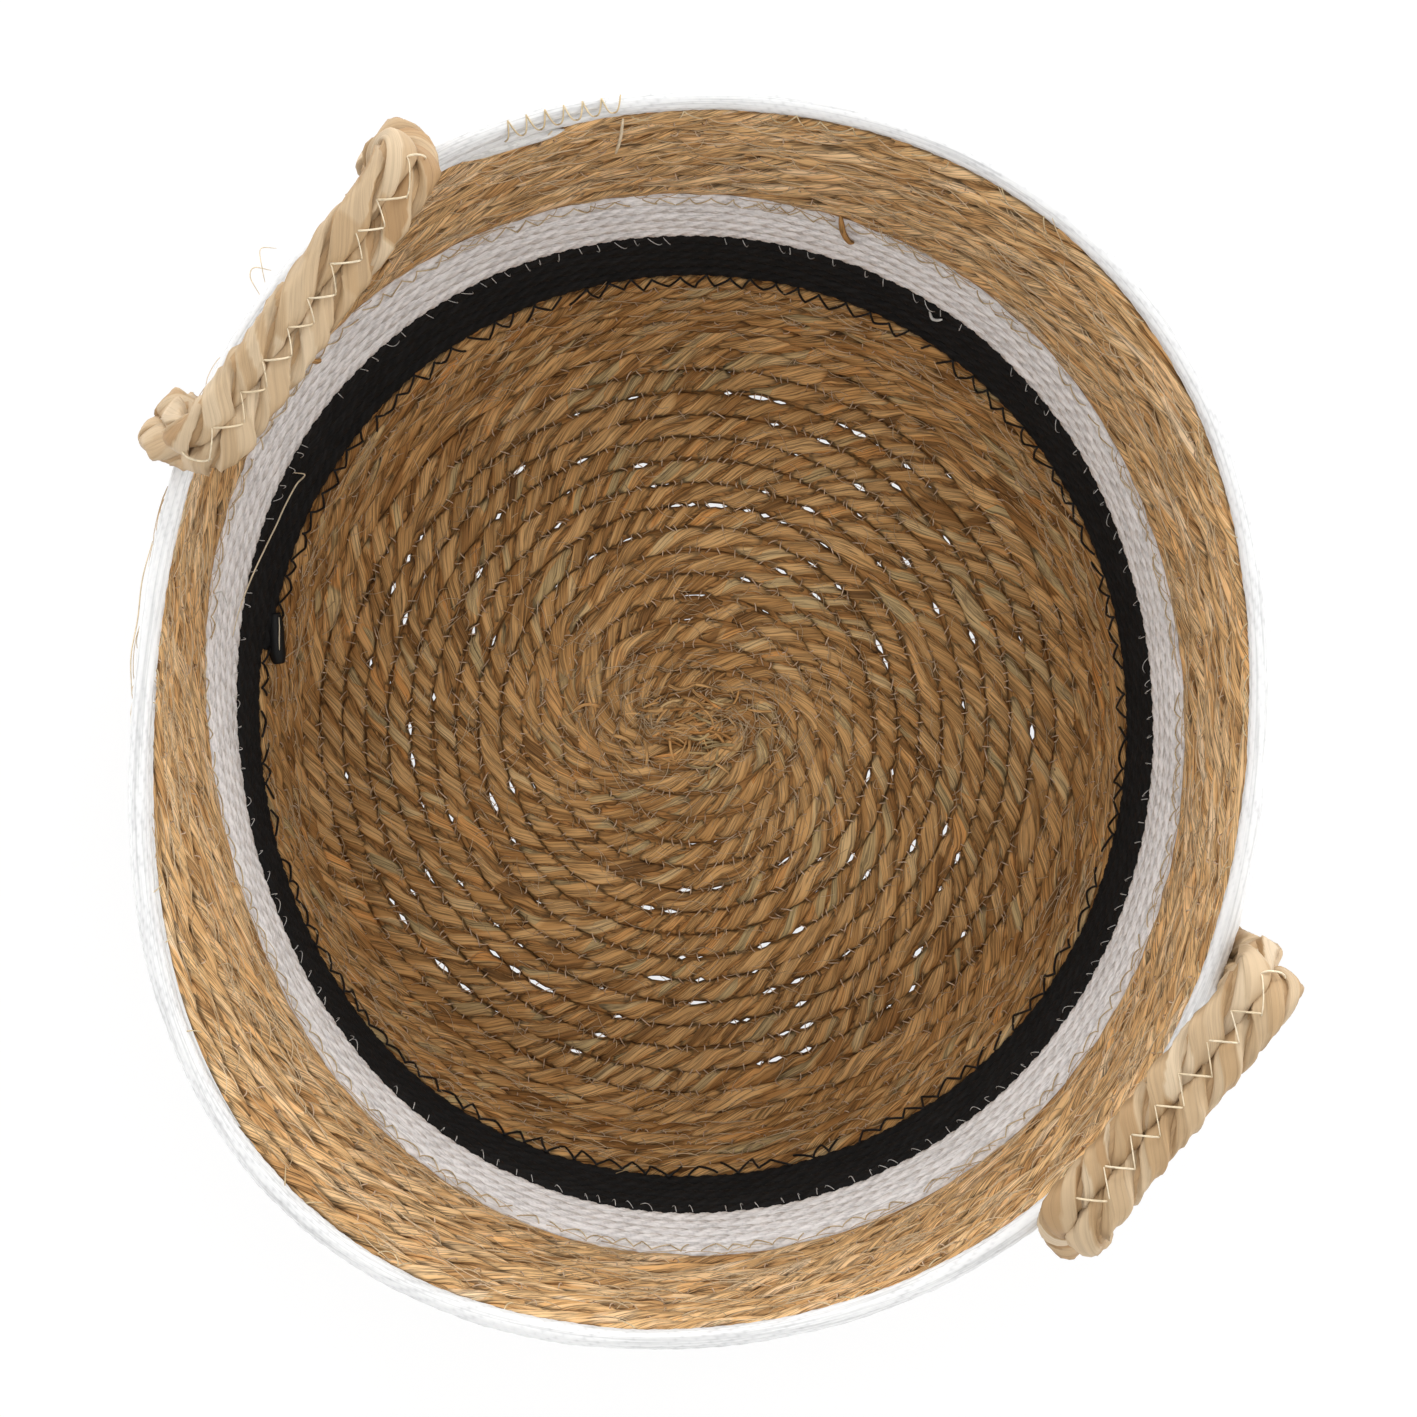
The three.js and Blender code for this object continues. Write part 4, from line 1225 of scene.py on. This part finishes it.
def handle_path(name):
    """Middle line of a handle from sewn end to sewn end, with the ways across it and out of its face."""
    joint = next(joint for joint in frame["joints"] if joint["child"] == name)
    near_tail = end_of(f"{name}_near_end", False)
    far_tail = end_of(f"{name}_far_end", False)
    near = end_of(f"{name}_near_end", True)
    far = end_of(f"{name}_far_end", True)
    near[2] = far[2] = joint["pos_m"][2]
    span = np.linalg.norm(near - far)
    along = (near - far) / span
    outward = np.array([-along[1], along[0], 0.0])
    up = np.array([0.0, 0.0, 1.0])
    lean = HANDLES[name]["lean"]
    out_leaning = outward * math.cos(lean) + up * math.sin(lean)
    up_leaning = up * math.cos(lean) - outward * math.sin(lean)
    rise = (LOOP_LENGTH - span) / 2

    left = half_loop(span / 2, rise)
    right = left[::-1] * np.array([-1, 1, 1, 1])
    mirror = np.concatenate([np.ones(len(left)), -np.ones(len(right))])
    x, z, tilt, twist = np.concatenate([left, right]).T
    turn_share = np.maximum((z - LEG_TWIST_START) / (rise - LEG_TWIST_START), 0)
    y = math.tan(HANDLES[name]["turn"]) * x * turn_share
    middle = (near + far) / 2
    loop = middle + x[:, None] * along + y[:, None] * out_leaning + z[:, None] * up_leaning
    quarter = math.pi / 2 * twist
    loop_width = (
        (mirror * np.cos(quarter) * np.cos(tilt))[:, None] * along
        + np.sin(quarter)[:, None] * out_leaning
        - (np.cos(quarter) * np.sin(tilt))[:, None] * up_leaning
    )

    tail_count = int(np.linalg.norm(near - near_tail) / HANDLE_FINE_STEP)
    part = np.linspace(0, 1, tail_count, endpoint=False)[:, None]
    far_leg = far_tail * (1 - part) + far * part
    near_leg = (near_tail * (1 - part) + near * part)[::-1]
    leg_width = np.repeat(along[None], tail_count, axis=0)
    points = smooth(np.concatenate([far_leg, loop, near_leg]), HANDLE_SMOOTHING)
    width = unit(smooth(np.concatenate([leg_width, loop_width, -leg_width]), HANDLE_SMOOTHING))
    lengths = np.linalg.norm(np.diff(points, axis=0), axis=1)
    walked = np.concatenate([[0], np.cumsum(lengths)])
    even = np.linspace(0, walked[-1], int(walked[-1] / HANDLE_RING_SPACING))
    points = values_at(even, walked, points)
    width = values_at(even, walked, width)
    tangent = unit(np.gradient(points, axis=0))
    width = unit(width - tangent * (width * tangent).sum(axis=1, keepdims=True))
    return {
        "points": points,
        "width": width,
        "face": np.cross(tangent, width),
        "tangent": tangent,
        "walked": even,
        "tail": tail_count * HANDLE_FINE_STEP,
        "hinge": Vector(joint["pos_m"]),
        "along": along,
        "out": out_leaning,
        "half_bar": span / 2 - LOOP_CORNER_RADIUS,
    }


def handle_ropes(name, path):
    """The two ropes of a handle, in one run from sewn end to sewn end."""
    rng = np.random.default_rng(HANDLES[name]["rope_seed"])
    walked = path["walked"]
    end_distance = np.minimum(walked, walked[-1] - walked)
    tail = np.clip(1 - end_distance / path["tail"], 0, 1)
    wide = (1 + TAIL_WIDENING * tail)[:, None]
    thin = (1 - TAIL_THINNING * tail)[:, None]
    turn = np.arange(FILL_SIDES) * TURN / FILL_SIDES

    def at_places(a, n):
        across = path["points"][:, None, :] + a[..., None] * path["width"][:, None, :]
        return across + n[..., None] * path["face"][:, None, :]

    bundles = []
    for offset in (-HANDLE_ROPE_OFFSET, HANDLE_ROPE_OFFSET):
        side, above, leaves = twisted_pair(rng, walked, HANDLE_ROPE)
        # Painted shade down in the creases between the plies, lighter than on the coil
        painted_crease_light = 1 - HANDLE_PAINTED_SHADE_SHARE * (1 - np.clip(openness(above), 0, 1))
        plies = at_places(
            wide * (offset + HANDLE_ROPE_HALF_WIDTH * side),
            thin * HANDLE_ROPE_HALF_THICKNESS * above)
        both = np.stack([walked, walked])
        bundles.append(bundle(plies, both, leaves, rng.random(2), HANDLE_GRAIN_RADIUS, painted_crease_light))
        fill = at_places(
            wide * (offset + HANDLE_FILL_HALF_WIDTH * np.cos(turn)),
            thin * HANDLE_FILL_HALF_THICKNESS * np.sin(turn))
        bundles.append(bundle(fill[None], walked[None], HANDLE_FILL_LEAF, rng.random(1), HANDLE_GRAIN_RADIUS))
    piece = make_tubes(f"{name}_ropes", bundles, handle_material)
    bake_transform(piece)
    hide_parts(f"{name}_loop", f"{name}_near_end", f"{name}_far_end")


def sew_handle(name, path):
    """Zigzag thread along the top of a handle, over the seam between its ropes."""
    rng = np.random.default_rng(HANDLES[name]["thread_seed"])
    reach_past = path["half_bar"] + HANDLE_STITCH_PAST_BAR
    spots = np.arange(-reach_past, reach_past, HANDLE_STITCH_SPACING)[:: HANDLES[name]["sense"]]
    spots = spots + rng.uniform(-HANDLE_STITCH_JITTER, HANDLE_STITCH_JITTER, len(spots))
    walked = path["walked"]
    places = walked[-1] / 2 + spots
    middle, tangent, width, face = (
        values_at(places, walked, path[key]) for key in ("points", "tangent", "width", "face"))
    face = unit(face)
    ahead, _, _ = core_directions()
    direction = unit((ahead @ path["along"]) * tangent + (ahead @ path["out"]) * width)
    middle = middle + face * HANDLE_STITCH_HEIGHT
    half = HANDLE_STITCH_HALF_LENGTH * rng.uniform(*HANDLE_STITCH_LENGTHS, len(spots))[:, None] * direction
    starts = middle - half
    ends = middle + half
    groups = [
        strokes(rng, starts, ends, face, **HANDLE_THREAD),
        strokes(rng, starts[:-1], ends[1:], face[:-1], **HANDLE_BACK_THREAD),
    ]
    piece = make_tubes(f"{name}_sewing", groups, pale_thread_material)
    place(piece, "pale_thread", f"{name}_stitch", body=name)


for handle_name in HANDLES:
    handle = handle_path(handle_name)
    handle_ropes(handle_name, handle)
    sew_handle(handle_name, handle)


# Stage, light and camera

def stage_floor():
    """A pale floor that looks white by itself and keeps a soft shadow."""
    material, tree, shader = new_material("floor", FLOOR_ROUGHNESS)
    shader.inputs["Base Color"].default_value = (*grey(FLOOR_GREY), 1)
    glow = add_node(tree, "Emission", {"Color": (1, 1, 1, 1), "Strength": 1.0})
    rays = add_node(tree, "LightPath", {})
    share = calculate(tree, "MULTIPLY", rays.outputs["Is Camera Ray"], FLOOR_GLOW)
    mix = add_node(tree, "MixShader", {"Fac": share, 1: shader.outputs["BSDF"], 2: glow.outputs["Emission"]})
    tree.links.new(mix.outputs["Shader"], tree.nodes["Material Output"].inputs["Surface"])
    bpy.ops.mesh.primitive_plane_add(size=FLOOR_SIZE, location=(0, 0, FLOOR_HEIGHT))
    floor = bpy.context.object
    floor.name = "floor"
    floor.data.materials.append(material)


def area_light(name, location, size, watts):
    light = bpy.data.lights.new(name, "AREA")
    light.size = size
    light.energy = watts
    lamp = bpy.data.objects.new(name, light)
    lamp.location = location
    lamp.rotation_euler = (Vector(LIGHT_AIM) - Vector(location)).to_track_quat("-Z", "Y").to_euler()
    bpy.context.scene.collection.objects.link(lamp)


def studio_light():
    world = bpy.data.worlds.new("studio")
    bpy.context.scene.world = world
    world.use_nodes = True
    background = world.node_tree.nodes["Background"]
    background.inputs["Color"].default_value = (1, 1, 1, 1)
    background.inputs["Strength"].default_value = WORLD_STRENGTH
    for number in range(SIDE_LIGHTS):
        bearing = number * TURN / SIDE_LIGHTS
        x = SIDE_LIGHT_DISTANCE * math.cos(bearing)
        y = SIDE_LIGHT_DISTANCE * math.sin(bearing)
        watts = SIDE_LIGHT_WATTS * (1 + KEY_SHARE * math.cos(bearing - KEY_BEARING))
        area_light(f"side_{number}", (x, y, SIDE_LIGHT_HEIGHT), SIDE_LIGHT_SIZE, watts)
    area_light("top", (0, 0, TOP_LIGHT_HEIGHT), TOP_LIGHT_SIZE, TOP_LIGHT_WATTS)


def place_camera():
    """The camera looks straight down into the basket."""
    camera = bpy.data.cameras.new("camera")
    camera.sensor_width = FILM_WIDTH
    camera.lens = LENS
    camera.shift_x, camera.shift_y = LENS_SHIFT
    eye = bpy.data.objects.new("camera", camera)
    eye.location = (0, 0, EYE_HEIGHT)
    eye.rotation_euler = (0, 0, CORE_ANGLE)
    bpy.context.scene.collection.objects.link(eye)
    bpy.context.scene.camera = eye


stage_floor()
studio_light()
place_camera()
bpy.context.scene.view_settings.view_transform = "Standard"
